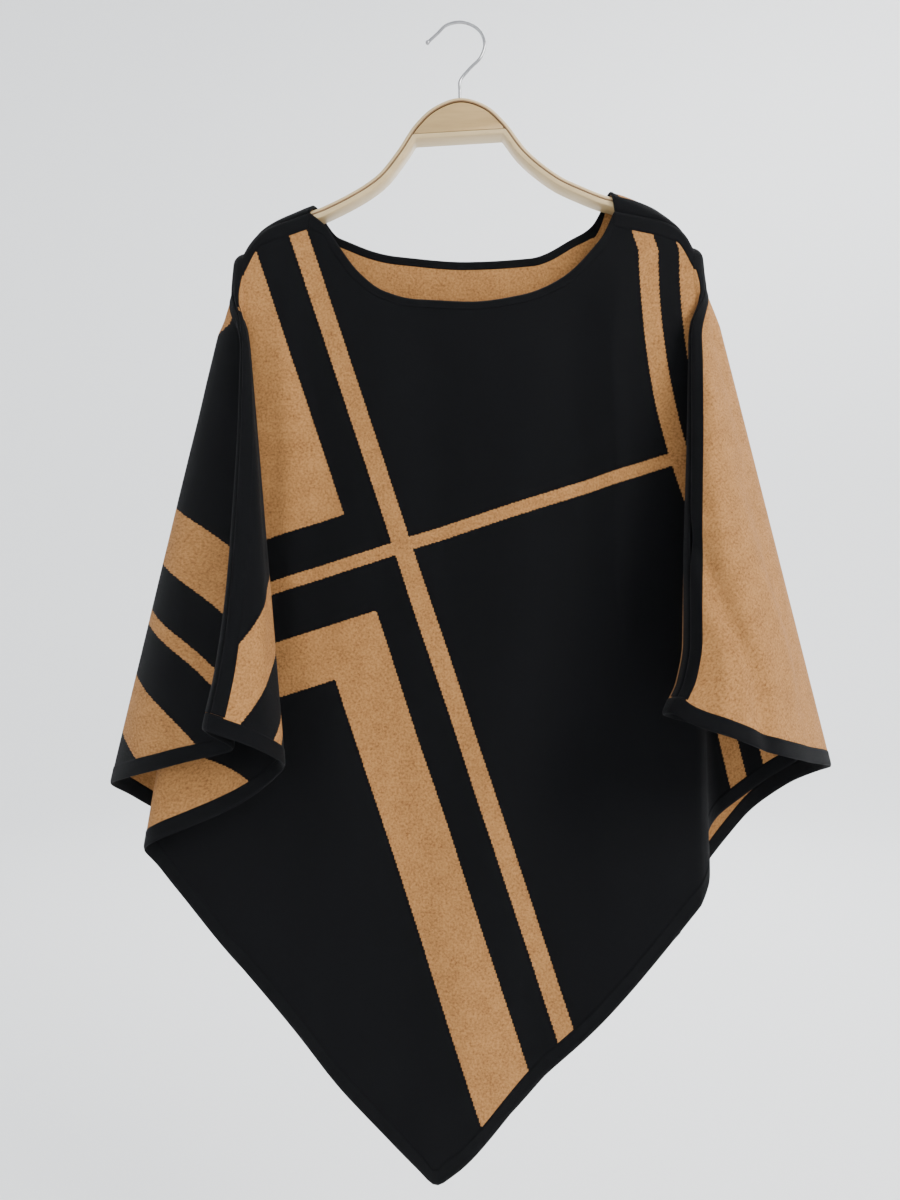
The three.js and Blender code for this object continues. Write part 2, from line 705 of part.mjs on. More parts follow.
const blockBase = (x) => BLOCK_BASE.z + BLOCK_BASE.slope * x;
const underBlock = (points, drop) => points.map((p) => ({ x: p.x, z: Math.min(p.z, blockBase(p.x) - drop) }));

function upperStripGeometry() {
  return strip(below(0), below(STRIP_THICK), UPPER_SECTION);
}

function lowerStripGeometry() {
  const start = STRIP_THICK + STRIP_GROOVE;
  const upper = underBlock(below(start), STRIP_GROOVE);
  const lower = underBlock(below(start + STRIP_THICK), STRIP_GROOVE + STRIP_THICK);
  return strip(upper, lower, LOWER_SECTION);
}

function blockGeometry() {
  const arch = below(STRIP_THICK + STRIP_GROOVE).filter((p) => p.z > blockBase(p.x) + STRIP_GROOVE);
  const ends = [arch[arch.length - 1], arch[0]].map((p) => ({ x: p.x, z: blockBase(p.x) }));
  const shape = new THREE.Shape([...arch, ...ends].map((p) => new THREE.Vector2(p.x, p.z)));
  const geometry = new THREE.ExtrudeGeometry(shape, { depth: BLOCK_DEPTH, bevelEnabled: false });
  geometry.rotateX(Math.PI / 2);
  geometry.translate(0, BLOCK_DEPTH / 2, 0);
  return geometry;
}

function solid(geometry) {
  const bare = geometry.clone();
  bare.deleteAttribute('normal');
  bare.deleteAttribute('uv');
  const merged = mergeVertices(bare, 1e-4);
  return new wasm.Manifold(new wasm.Mesh({
    numProp: 3,
    vertProperties: new Float32Array(merged.attributes.position.array),
    triVerts: new Uint32Array(merged.index.array),
  }));
}

function toGeometry(manifold) {
  const mesh = manifold.getMesh();
  const geometry = new THREE.BufferGeometry();
  geometry.setAttribute('position', new THREE.Float32BufferAttribute(mesh.vertProperties, 3));
  geometry.setIndex(Array.from(mesh.triVerts));
  geometry.computeVertexNormals();
  return geometry;
}

// A cloth piece, trimmed where the facets of the pieces sewn to it would reach into it.
function trimmed(grid, thickness, neighbours) {
  const thick = [BAND_THICK, BAND_THICK + 2 * JOINT_GAP];
  const cutters = neighbours.flatMap((other) => thick.map((across) => solid(wall(other, across))));
  const rest = cutters.reduce((left, cutter) => left.subtract(cutter), solid(wall(grid, thickness)));
  const pieces = rest.decompose().sort((a, b) => b.volume() - a.volume());
  return toGeometry(pieces[0]);
}

function hookGeometry() {
  const path = new THREE.CatmullRomCurve3(
    HOOK_PATH.map((p) => new THREE.Vector3(p.x, 0, p.z)),
    false,
    'centripetal',
  );
  const section = new THREE.Shape(Array.from({ length: WIRE_SIDES }, (_, k) => {
    const turn = 2 * Math.PI * k / WIRE_SIDES;
    return new THREE.Vector2(Math.cos(turn), Math.sin(turn)).multiplyScalar(WIRE / 2);
  }));
  const wire = new THREE.ExtrudeGeometry(section, {
    steps: WIRE_STEPS,
    extrudePath: path,
    bevelEnabled: false,
  });
  const ball = new THREE.SphereGeometry(BALL / 2, 10, 6);
  ball.translate(path.getPoint(1).x, 0, path.getPoint(1).z);
  return toGeometry(solid(wire).add(solid(ball)));
}

// Materials
const blackKnit = { color: 0x14161a, roughness: 0.92, metalness: 0 };
const camelKnit = { color: 0xbe915f, roughness: 0.92, metalness: 0 };
const paleWood = { color: 0xe3d2a8, roughness: 0.55, metalness: 0 };
const grainWood = { color: 0xdcc08a, roughness: 0.6, metalness: 0 };
const chrome = { color: 0xc8cacc, roughness: 0.18, metalness: 1 };

const garment = new THREE.Group();
function add(name, geometry, finish) {
  const mesh = new THREE.Mesh(geometry, new THREE.MeshStandardMaterial(finish));
  mesh.name = name;
  garment.add(mesh);
}

const cutPanels = [makePanel(1), makePanel(-1)];
const seamGrids = cutPanels.map((panel) => [LEFT, RIGHT].map((side) => seamBandGrid(panel, side)));
['front', 'back'].forEach((face, k) => {
  const panel = cutPanels[k];
  const [leftSeam, rightSeam] = seamGrids[k];
  const [hem, neck] = [hemBandGrid(panel), neckBandGrid(panel)];
  const across = k === 0 ? seamGrids[1] : [];
  const cloth = trimmed(panelGrid(panel), CLOTH_THICK, [leftSeam, rightSeam, hem, neck]);
  add(`${face}_panel`, cloth, k === 0 ? blackKnit : camelKnit);
  add(`${face}_hem_band`, trimmed(hem, BAND_THICK, [leftSeam, rightSeam]), blackKnit);
  add(`${face}_neck_band`, wall(neck, BAND_THICK), blackKnit);
  add(`${face}_left_seam_band`, trimmed(leftSeam, BAND_THICK, [neck, ...across]), blackKnit);
  add(`${face}_right_seam_band`, trimmed(rightSeam, BAND_THICK, [neck, ...across]), blackKnit);
});
add('hanger_upper_strip', upperStripGeometry(), paleWood);
add('hanger_lower_strip', lowerStripGeometry(), paleWood);
add('hanger_block', blockGeometry(), grainWood);
add('hanger_hook', hookGeometry(), chrome);

export default garment;
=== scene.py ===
"""The looks of a knitted poncho sweater that hangs on a flat wood hanger.

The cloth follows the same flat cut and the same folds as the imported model, on fine grids, so each
piece is a thin shell on its own solid. Tables and sizes are in millimetres and degrees, and a
mesh is scaled to metres as it is made.
"""
import logging
import math
from dataclasses import dataclass, field
from enum import Enum
from typing import Callable, Sequence

import bpy
import numpy as np
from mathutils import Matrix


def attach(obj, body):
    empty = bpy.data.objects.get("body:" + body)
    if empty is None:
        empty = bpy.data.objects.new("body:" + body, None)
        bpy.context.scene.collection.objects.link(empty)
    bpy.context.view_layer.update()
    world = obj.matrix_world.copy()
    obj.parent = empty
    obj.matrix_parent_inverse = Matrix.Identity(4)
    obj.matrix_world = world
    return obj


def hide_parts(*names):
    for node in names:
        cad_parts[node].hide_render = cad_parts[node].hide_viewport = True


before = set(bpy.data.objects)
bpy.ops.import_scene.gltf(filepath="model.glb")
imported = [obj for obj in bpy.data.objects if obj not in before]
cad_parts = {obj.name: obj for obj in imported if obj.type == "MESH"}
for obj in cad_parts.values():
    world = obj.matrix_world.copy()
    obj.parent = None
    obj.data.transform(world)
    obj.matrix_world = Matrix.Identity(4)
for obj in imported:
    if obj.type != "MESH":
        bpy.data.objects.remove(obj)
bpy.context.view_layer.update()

log = logging.getLogger("poncho")

MM = 0.001

# Cloth and bands
CLOTH_THICK = 1.9
BAND_THICK = 2.7
SEAM_BAND = 15.0
HEM_BAND = 15.0
NECK_BAND = 9.0
SHOULDER_BAND_DEPTH = 17.0
JOINT_GAP = 0.3
TUCK = 2.5
STEEPEST = 2.5

# The cloth's round over the hanger's arms and tips, and how its folds form below them
CAP_RADIUS = 12.0
QUARTER = CAP_RADIUS * math.pi / 2
FOLD_SOFTNESS = 20.0
FOLDS_FULL_AT = 90.0
TURN_FULL_AT = 90.0
BEND = 4.0
TURN_START = 8.0
TURN_WIDTH = 18.0
DRAPE_LENGTH = 800.0
DRAPE_FREE = 40.0

# Pattern: stripes lean from the plumb line or rise to the right, each between two distances
# from the hook, across the long stripes and up from the cross stripes
LONG_LEAN = 18.5
CROSS_RISE = 17.8
UPPER_CORNER = (-332.0, -262.5)
LOWER_CORNER = (-320.7, -262.5)
THIN_LONG_STRIPE = (-227.3, -209.5)
RIGHT_STRIPE = (89.3, 107.5)
RIGHT_FIELD = 127.0
UPPER_ARM = (-434.2, -385.0)
LOWER_ARM = (-583.5, -532.3)
THIN_CROSS_STRIPE = (-487.0, -474.8)
GATHERED_FROM = 8.0
GATHERED_OVER = 12.0
GATHER = 38.0
GATHER_TOP = -235.0
GATHER_DEPTH = 230.0
GATHER_AT = 110.0
GATHER_WIDTH = 80.0

# Knit
WALE = 1.05
COURSE = 0.9
STEP_WIDE = 1.3
STEP_HIGH = 1.1

# Hanger
HANGER_DEPTH = 18.6
STRIP_THICK = 4.6
STRIP_GROOVE = 0.6
EDGE_DROP = 3.4
SEAT_GAP = 2.3
END_ROUND = 34.0
END_DEPTH = 0.45
BLOCK_DEPTH = 17.6
BLOCK_BASE = -110.0
BLOCK_SLOPE = 0.06
WIRE = 3.2
BALL = 4.6

# Finish
BAND_SQUARENESS = 5.0
BAND_LIP = 0.25
RIDGE_RISE = 0.45
RIDGE_WIDTH = 0.07
SEAM_RIDGE_AT = 0.86
HEM_RIDGE_AT = 0.14
SHARP_ANGLE = 60.0
HANGER_SHARP = 40.0
CURVE_SAMPLES = 24
CAD_BAND_THICK = 2.8
BALL_TIP = 0.05
BLOCK_SECTION = ((-8.8, 0.7), (-8.5, 0.2), (-8.1, 0), (8.1, 0), (8.5, 0.2), (8.8, 0.7))
FLOOR_SIDES = 96
FLOOR_BENDS = 12
FLOOR_FLAT = 3.2
FLOOR_ROUND = 1.6
WALL_HEIGHT = 9.0
FLOOR_COLOR = (0.84, 0.85, 0.86, 1)

# Mesh steps
FAN_COLUMNS = 100
ROWS = 140
ROW_SPREAD = 1.6
ROW_EVEN = 0.35
SHOULDER_COLUMNS = 14
NECK_COLUMNS = 48
NECK_CORNER = (0, 0.6, 1.2, 1.8, 2.4, 3, 3.6, 4.4, 5.4, 6.6, 8, 10, 12.5, 15.5, 19, 23)
NECK_MARGIN = 28.0
BAND_CELLS = 10
TIP_STEPS = 12
ARM_STEPS = 200
HOOK_STEPS = 160
WIRE_SIDES = 24
TOP_MARGIN = 1.5
NORMAL_STEP = 0.3
CROWDED = 0.25

# Camera: where it stood, and the height that the photograph covers at the hanger
IMAGE = (900, 1200)
CAMERA_AT = (-9.0, -900.0, -567.4)
COVERED_HEIGHT = 1182.0
FLOOR_HEIGHT = -1.45


class Face(Enum):
    """The two panels of the garment, by the way that they face."""

    FRONT = 1
    BACK = -1


class Turned(Enum):
    """Which side of the knit a surface shows: the two sides have each other's colours."""

    OUTSIDE = "outside"
    INSIDE = "inside"


@dataclass(frozen=True)
class Table:
    """Rows of numbers, read as a smooth curve that never swings past them.

    Attributes:
        columns: the columns' names, the first being the one that the rows are looked up by.
        rows: the rows, in rising order of the first column.
    """

    columns: tuple
    rows: tuple

    def values(self, column: str) -> np.ndarray:
        """Gives one column.

        Args:
            column: its name.

        Returns:
            Its numbers as an array.
        """
        return np.array([row[self.columns.index(column)] for row in self.rows], dtype=float)

    def read(self, column: str, at: np.ndarray) -> np.ndarray:
        """Reads the curve of a column.

        Args:
            column: the column that is read.
            at: where, in the first column's numbers.

        Returns:
            The curve's values there.
        """
        keys = self.values(self.columns[0])
        values = self.values(column)
        step = np.diff(keys)
        rise = np.diff(values) / step
        both = rise[:-1] * rise[1:]
        same = both > 0
        inner = np.where(same, 2 * both / np.where(same, rise[:-1] + rise[1:], 1), 0)
        slope = np.concatenate([rise[:1], inner, rise[-1:]])
        at = np.asarray(at, dtype=float)
        i = np.searchsorted(keys[1:-1], at, side="left")
        t = (at - keys[i]) / step[i]
        t2, t3 = t * t, t * t * t
        return (
            (2 * t3 - 3 * t2 + 1) * values[i]
            + (t3 - 2 * t2 + t) * step[i] * slope[i]
            + (3 * t2 - 2 * t3) * values[i + 1]
            + (t3 - t2) * step[i] * slope[i + 1]
        )

    def read_past(self, column: str, at: np.ndarray) -> np.ndarray:
        """Reads the curve beyond its ends too, as if it turned over there.

        Args:
            column: the column that is read.
            at: where, in the first column's numbers.

        Returns:
            The curve's values there.
        """
        keys = self.values(self.columns[0])
        values = self.values(column)
        low, high = keys[0], keys[-1]
        folded = np.where(at < low, 2 * low - at, np.where(at > high, 2 * high - at, at))
        inside = self.read(column, folded)
        past = np.where(at < low, 2 * values[0] - inside, 2 * values[-1] - inside)
        return np.where((at < low) | (at > high), past, inside)


@dataclass(frozen=True)
class Side:
    """One side of the garment, which hangs from a tip of the hanger in folds.

    Attributes:
        tip: x and z of the tip.
        out: -1 on the left and 1 on the right.
        seam: the seam's angle in the flat cut, from the front's plumb line.
        turn_at: the angle of the last fold, where the back panel turns away.
        gathered: how much longer the flat cut is than the cloth as it hangs, on the arm's front
            and on its back.
        sway: how far the seam's folds swing away from the body as they fall, by the distance
            from the tip.
        swayed: the angles in the flat cut where that starts, is full, and ends again.
        folds: flat is a fold line's angle in the flat cut, out and fore are its angles as it
            hangs, away from the body and toward the viewer, and long is its length to the hem.
    """

    tip: tuple
    out: int
    seam: float
    turn_at: float
    gathered: tuple
    sway: Table
    swayed: tuple
    folds: Table


FOLD_COLUMNS = ("flat", "out", "fore", "long")
LEFT = Side(
    tip=(-209.8, -228.5),
    out=-1,
    seam=40.5,
    turn_at=64.0,
    gathered=(0.05, 0.095),
    sway=Table(("radius", "out"), (
        (0, 0),
        (60, -2.2),
        (120, -4.4),
        (180, -4.5),
        (250, -4.1),
        (345, -3.5),
        (420, -2.6),
        (472, -1.6),
        (700, 0),
    )),
    swayed=(31.0, 38.0, 50.0, 62.0),
    folds=Table(FOLD_COLUMNS, (
        (0, 0, 0.5, 701),
        (5, 5, 0.3, 640),
        (8, 8, 0.3, 608),
        (9.4, 9.3, 1.3, 593.5),
        (11, 8.2, 2.9, 581),
        (13.5, 5.2, 3.7, 564),
        (16, 2, 4.4, 549),
        (18.5, -0.8, 5, 536),
        (21.5, -3.2, 5.6, 523),
        (25, -4.9, 6.1, 512),
        (28.2, -5.9, 7, 505),
        (30.8, -6.4, 9.2, 499.6),
        (33, -5.3, 11.2, 493),
        (35.6, -2.9, 13, 485),
        (38.1, -0.2, 14.3, 478),
        (40.5, 2.2, 15, 472),
        (42.2, 3, 13.8, 470),
        (44.5, 2.7, 11.8, 473),
        (47.2, 1.4, 9.9, 479),
        (49.8, 0.6, 8.7, 485),
        (52.4, 2.4, 8.1, 490),
        (55.3, 5.4, 7, 498),
        (58.3, 8.6, 5.3, 511),
        (61.3, 11.6, 2.7, 527),
        (64, 13.5, -0.4, 543),
        (66.8, 12.2, -3.2, 561),
        (70, 9, -4.3, 583),
        (74.5, 4.8, -4.4, 620),
        (81, 0, -2.2, 690),
    )),
)
RIGHT = Side(
    tip=(227.5, -222.6),
    out=1,
    seam=45.0,
    turn_at=73.0,
    gathered=(0, 0),
    sway=Table(("radius", "out"), (
        (0, 0),
        (60, 0.5),
        (130, 2.4),
        (225, 3.1),
        (305, 3.1),
        (400, 3.3),
        (435, 2.6),
        (465, 1.2),
        (700, 0),
    )),
    swayed=(22.0, 36.0, 50.0, 71.0),
    folds=Table(FOLD_COLUMNS, (
        (0, 0, 2.6, 640),
        (1.5, 0.9, 1.9, 622),
        (3.2, 1.3, 0.3, 604),
        (5, 1.7, -1.4, 586),
        (7.2, 3.4, -2.7, 568),
        (10, 6.2, -2.6, 550),
        (13, 9.1, -1.9, 533),
        (16.2, 11.8, -0.4, 518.5),
        (18.3, 11.2, 1.7, 511),
        (23, 7, 4.8, 495),
        (28.8, 2.2, 8, 480),
        (34.5, -3.2, 9.9, 470),
        (39.2, -6.8, 10.6, 465),
        (42.4, -8, 12.2, 464),
        (45, -7.6, 14.2, 465),
        (47.5, -5.8, 15.7, 473),
        (52.4, -1, 16.4, 486),
        (57.5, 4, 14.6, 498),
        (63.3, 8.6, 11, 507),
        (69.3, 12, 6, 517),
        (74, 13.4, 0.6, 532),
        (77, 11.4, -3.4, 552),
        (81, 7.4, -5.2, 587),
        (86.5, 2.2, -4.6, 646),
        (90, 0, -2.2, 694),
    )),
)

# Heights along the body, left to right. The ridge is where the cloth passes over the arms.
RIDGE = Table(("x", "z"), (
    (-209.8, -228.5),
    (-203, -217),
    (-192, -205),
    (-178, -196),
    (-160, -188),
    (-146.8, -182.5),
    (-100, -167),
    (0, -155),
    (100, -158),
    (150.7, -168.5),
    (186.2, -182.5),
    (208, -197),
    (220, -209),
    (227.5, -222.6),
))
SEAM_ARC = Table(("x", "arc"), (
    (-209.8, 0),
    (-192, 9),
    (-170, 14),
    (-145, 16),
    (150.7, 28),
    (175, 24),
    (200, 16),
    (215, 9),
    (227.5, 0),
))
NECK_LEFT = -145.0
NECK_RIGHT = 150.7
FRONT_NECK = Table(("x", "arc"), (
    (NECK_LEFT, 16),
    (-129, 36),
    (-118, 57),
    (-98.6, 88),
    (-73, 112),
    (-41, 125),
    (10, 130.5),
    (59, 123),
    (98, 105),
    (137, 59),
    (NECK_RIGHT, 28),
))
BACK_NECK = Table(("x", "arc"), (
    (NECK_LEFT, -16),
    (-141, 0),
    (-134, 18),
    (-119, 41),
    (-59, 71),
    (4, 81),
    (71, 76),
    (119, 50),
    (132, 38),
    (141, 21),
    (146, 4),
    (NECK_RIGHT, -28),
))
FRONT_HEM = (
    (-76.3, -1074.8),
    (-40, -1111),
    (-23.4, -1122),
    (-6, -1109),
    (76.2, -1021),
    (141.9, -955),
)
BACK_HEM = (
    (-60, -1071),
    (-6, -1127),
    (11.2, -1139),
    (28, -1126),
    (85.7, -1060),
    (154.7, -992),
)

# Soft drapes down the body: start, width, drift on the way to the hem, and depth there
FRONT_DRAPES = (
    (-150, 26, 30, 5),
    (-72, 30, 26, -5),
    (12, 34, -8, 6),
    (110, 30, -34, -5),
)
BACK_DRAPES = (
    (-118, 30, 18, -6),
    (-20, 36, 10, 6),
    (92, 32, -16, -6),
)

# Hanger lines
LEFT_ARM_AT = (-202, -198, -191, -182, -171, -158, -146, -134)
RIGHT_ARM_AT = (141, 153, 168, 184, 198, 207, 215)
ARCH_TOP = (
    (-110, -171.5),
    (-90, -159.5),
    (-77.2, -149),
    (-60, -127),
    (-44, -103),
    (-25, -85.5),
    (0.7, -76.5),
    (26, -83.5),
    (44.6, -99.5),
    (67, -128),
    (97.2, -152),
    (120, -163),
)
HOOK_PATH = (
    (0.7, -76.1),
    (0.6, -66),
    (0.9, -56.5),
    (10, -44.5),
    (20.7, -33.5),
    (25.1, -20.7),
    (21.5, -8.6),
    (11.8, -0.9),
    (0, 1.6),
    (-12.8, -1.6),
    (-21.7, -9.9),
    (-31, -18.4),
)
UPPER_SECTION = ((-6.2, 0), (6.2, 0), (7.4, 0.35), (8.4, 1.2), (9.1, 2.3), (9.3, 3.4), (9.3, 4.6),
                 (-9.3, 4.6), (-9.3, 3.4), (-9.1, 2.3), (-8.4, 1.2), (-7.4, 0.35))
# Sides of the sections that border the groove, which carry the painted groove shade
UPPER_GROOVED = (5, 6, 7)
LOWER_GROOVED = (0,)
LOWER_SECTION = ((-9.3, 0), (9.3, 0), (9.3, 3.2), (9.0, 4.1), (8.3, 4.6),
                 (-8.3, 4.6), (-9.0, 4.1), (-9.3, 3.2))

BLUR = ((-2, 0.06), (-1.33, 0.12), (-0.67, 0.2), (0, 0.24), (0.67, 0.2), (1.33, 0.12), (2, 0.06))


def smooth(t: np.ndarray) -> np.ndarray:
    """Eases from 0 to 1.

    Args:
        t: how far along, held between 0 and 1.

    Returns:
        The eased share.
    """
    t = np.clip(t, 0, 1)
    return t * t * (3 - 2 * t)


def lerp(a: np.ndarray, b: np.ndarray, t: np.ndarray) -> np.ndarray:
    """Goes from one value to another.

    Args:
        a: the value at 0.
        b: the value at 1.
        t: how far along.

    Returns:
        The value between them.
    """
    return a + (b - a) * t


def over_cap(length: np.ndarray) -> tuple:
    """Follows the cloth round over an arm and then straight down.

    Args:
        length: the length of cloth from the ridge.

    Returns:
        How far it has come aside and down on the round, and the length of the straight run.
    """
    turned = np.minimum(length, QUARTER) / CAP_RADIUS
    aside = CAP_RADIUS * np.sin(turned)
    drop = CAP_RADIUS * (1 - np.cos(turned))
    return aside, drop, np.maximum(0, length - QUARTER)


def fan_point(side: Side, flat: np.ndarray, radius: np.ndarray) -> np.ndarray:
    """Places cloth that hangs from a tip.

    Args:
        side: the side of the garment.
        flat: angles in the flat cut.
        radius: distances from the tip in the flat cut.

    Returns:
        Points, with x, y and z last.
    """
    aside, drop, run = over_cap(radius)
    bend = np.degrees(BEND / np.maximum(radius, BEND))
    spread = np.maximum(bend, FOLD_SOFTNESS * (1 - smooth(run / FOLDS_FULL_AT)))
    out = sum(share * side.folds.read_past("out", flat + at * spread) for at, share in BLUR)
    start, full, fading, end = side.swayed
    window = smooth((flat - start) / (full - start)) * smooth((end - flat) / (end - fading))
    out = np.radians(out + window * side.sway.read("out", radius))
    fore = np.radians(sum(share * side.folds.read_past("fore", flat + at * spread) for at, share in BLUR))
    loose = 180 * smooth((flat - TURN_START) / (2 * side.seam - TURN_START))
    folded = 180 * smooth((flat - side.turn_at) / TURN_WIDTH + 0.5)
    turn = np.radians(lerp(loose, folded, smooth(run / TURN_FULL_AT)))
    return np.stack([
        side.tip[0] + side.out * (np.sin(turn) * aside + run * np.sin(out) * np.cos(fore)),
        -np.cos(turn) * aside - run * np.sin(fore),
        side.tip[1] - drop - run * np.cos(out) * np.cos(fore),
    ], axis=-1)


def ridge(x: np.ndarray) -> np.ndarray:
    """Gives the height where the cloth passes over the arms.

    Args:
        x: where along the hanger.

    Returns:
        The height there.
    """
    return RIDGE.read("z", x)


def fore_at(x: np.ndarray, face: np.ndarray) -> np.ndarray:
    """Gives how far a panel leans away from the hanger's plane.

    Args:
        x: where along the hanger.
        face: 1 on the front and -1 on the back.

    Returns:
        The lean in radians.
    """
    row = np.where(face > 0, 0, -1)
    ends = [side.folds.values("fore")[row] for side in (LEFT, RIGHT)]
    return np.radians(face * lerp(ends[0], ends[1], smooth((x - LEFT.tip[0]) / (RIGHT.tip[0] - LEFT.tip[0]))))


def drape_at(x: np.ndarray, run: np.ndarray, face: np.ndarray) -> np.ndarray:
    """Gives the depth of the soft drapes down the body.

    Args:
        x: where along the hanger.
        run: the straight length above the point.
        face: 1 on the front and -1 on the back.

    Returns:
        The depth there.
    """
    fall = run / DRAPE_LENGTH
    free = smooth((x - LEFT.tip[0]) / DRAPE_FREE) * smooth((RIGHT.tip[0] - x) / DRAPE_FREE)
    depth = np.zeros_like(x + run)
    for drapes, shown in ((FRONT_DRAPES, face > 0), (BACK_DRAPES, face < 0)):
        for start, width, drift, deep in drapes:
            across = (x - start - drift * fall) / width
            depth = depth + np.where(shown, free * deep * fall * np.exp(-across * across), 0)
    return depth


def body_point(x: np.ndarray, arc: np.ndarray) -> np.ndarray:
    """Places cloth of the body between the tips.

    Args:
        x: where along the hanger.
        arc: the length from the ridge, down the front where positive and the back where negative.

    Returns:
        Points, with x, y and z last.
    """
    face = np.where(arc < 0, -1, 1)
    aside, drop, run = over_cap(np.abs(arc))
    fore = fore_at(x, face)
    away = aside + run * np.sin(fore) + drape_at(x, run, face)
    return np.stack([x + 0 * arc, -face * away, ridge(x) - drop - run * np.cos(fore)], axis=-1)


@dataclass
class Spots:
    """A grid of places in the flat cut, row by row.

    Attributes:
        kind: 0 on the body, 1 on the left side and 2 on the right side.
        first: x on the body and the angle on a side.
        second: the arc on the body and the distance from the tip on a side.
    """

    kind: np.ndarray
    first: np.ndarray
    second: np.ndarray

    def moved(self, first: float, second: float) -> "Spots":
        """Steps across and along the cloth.

        Args:
            first: the step across, in millimetres.
            second: the step along, in millimetres.

        Returns:
            The places a step away.
        """
        turn = np.degrees(first / np.maximum(self.second, NORMAL_STEP))
        across = np.where(self.kind == 0, first, turn)
        return Spots(self.kind, self.first + across, self.second + second)

    def points(self) -> np.ndarray:
        """Gives where the places hang.

        Returns:
            Points, with x, y and z last.
        """
        result = body_point(np.where(self.kind == 0, self.first, 0), np.where(self.kind == 0, self.second, 1))
        for code, side in ((1, LEFT), (2, RIGHT)):
            here = self.kind == code
            if here.any():
                result[here] = fan_point(side, self.first[here], self.second[here])
        return result

    def normals(self) -> np.ndarray:
        """Gives the directions that the outside of the cloth faces.

        Returns:
            Unit vectors, with x, y and z last.
        """
        across = self.moved(NORMAL_STEP, 0).points() - self.moved(-NORMAL_STEP, 0).points()
        down = self.moved(0, NORMAL_STEP).points() - self.moved(0, -NORMAL_STEP).points()
        normal = np.cross(across, down)
        normal = normal / np.linalg.norm(normal, axis=-1, keepdims=True)
        flip = np.where(self.kind == 1, 1, -1)
        return normal * flip[..., None]

    def cut(self) -> np.ndarray:
        """Gives the places on the flat cut, as they lie when seen from the front.

        The knit is gathered along the folds of the left side and across the front's right one.

        Returns:
            Places across and up, in millimetres.
        """
        across = self.first.copy()
        up = ridge(np.where(self.kind == 0, self.first, 0)) - np.abs(self.second)
        for code, side in ((1, LEFT), (2, RIGHT)):
            here = self.kind == code
            angle = side.seam - np.abs(side.seam - self.first)
            longer = np.where(self.first < side.seam, side.gathered[0], side.gathered[1])
            length = self.second * (1 + longer * smooth((angle - GATHERED_FROM) / GATHERED_OVER))
            across = np.where(here, side.tip[0] + side.out * length * np.sin(np.radians(angle)), across)
            up = np.where(here, side.tip[1] - length * np.cos(np.radians(angle)), up)
        front = (self.second > 0) & ((self.kind == 0) | (self.first < RIGHT.seam))
        depth = front * (1 - (1 - np.clip((GATHER_TOP - up) / GATHER_DEPTH, 0, 1)) ** 2)
        shift = GATHER * depth * smooth((across - GATHER_AT) / GATHER_WIDTH)
        rise = math.radians(CROSS_RISE)
        return np.stack([across + shift * math.cos(rise), up + shift * math.sin(rise)], axis=-1)


def hem_radius(side: Side, flat: np.ndarray) -> np.ndarray:
    """Gives the length of the cloth from a tip to the hem.

    Args:
        side: the side of the garment.
        flat: angles in the flat cut.

    Returns:
        The lengths.
    """
    return side.folds.read("long", flat)


def inside_hem(side: Side, flat: np.ndarray, depth: np.ndarray) -> np.ndarray:
    """Gives the distance from a tip to a line that runs inside the hem.

    Args:
        side: the side of the garment.
        flat: angles in the flat cut.
        depth: how far inside the hem the line runs.

    Returns:
        The distances.
    """
    radius = hem_radius(side, flat)
    swing = (hem_radius(side, flat + 0.5) - hem_radius(side, flat - 0.5)) / np.radians(radius)
    return radius - depth * np.hypot(1, swing)


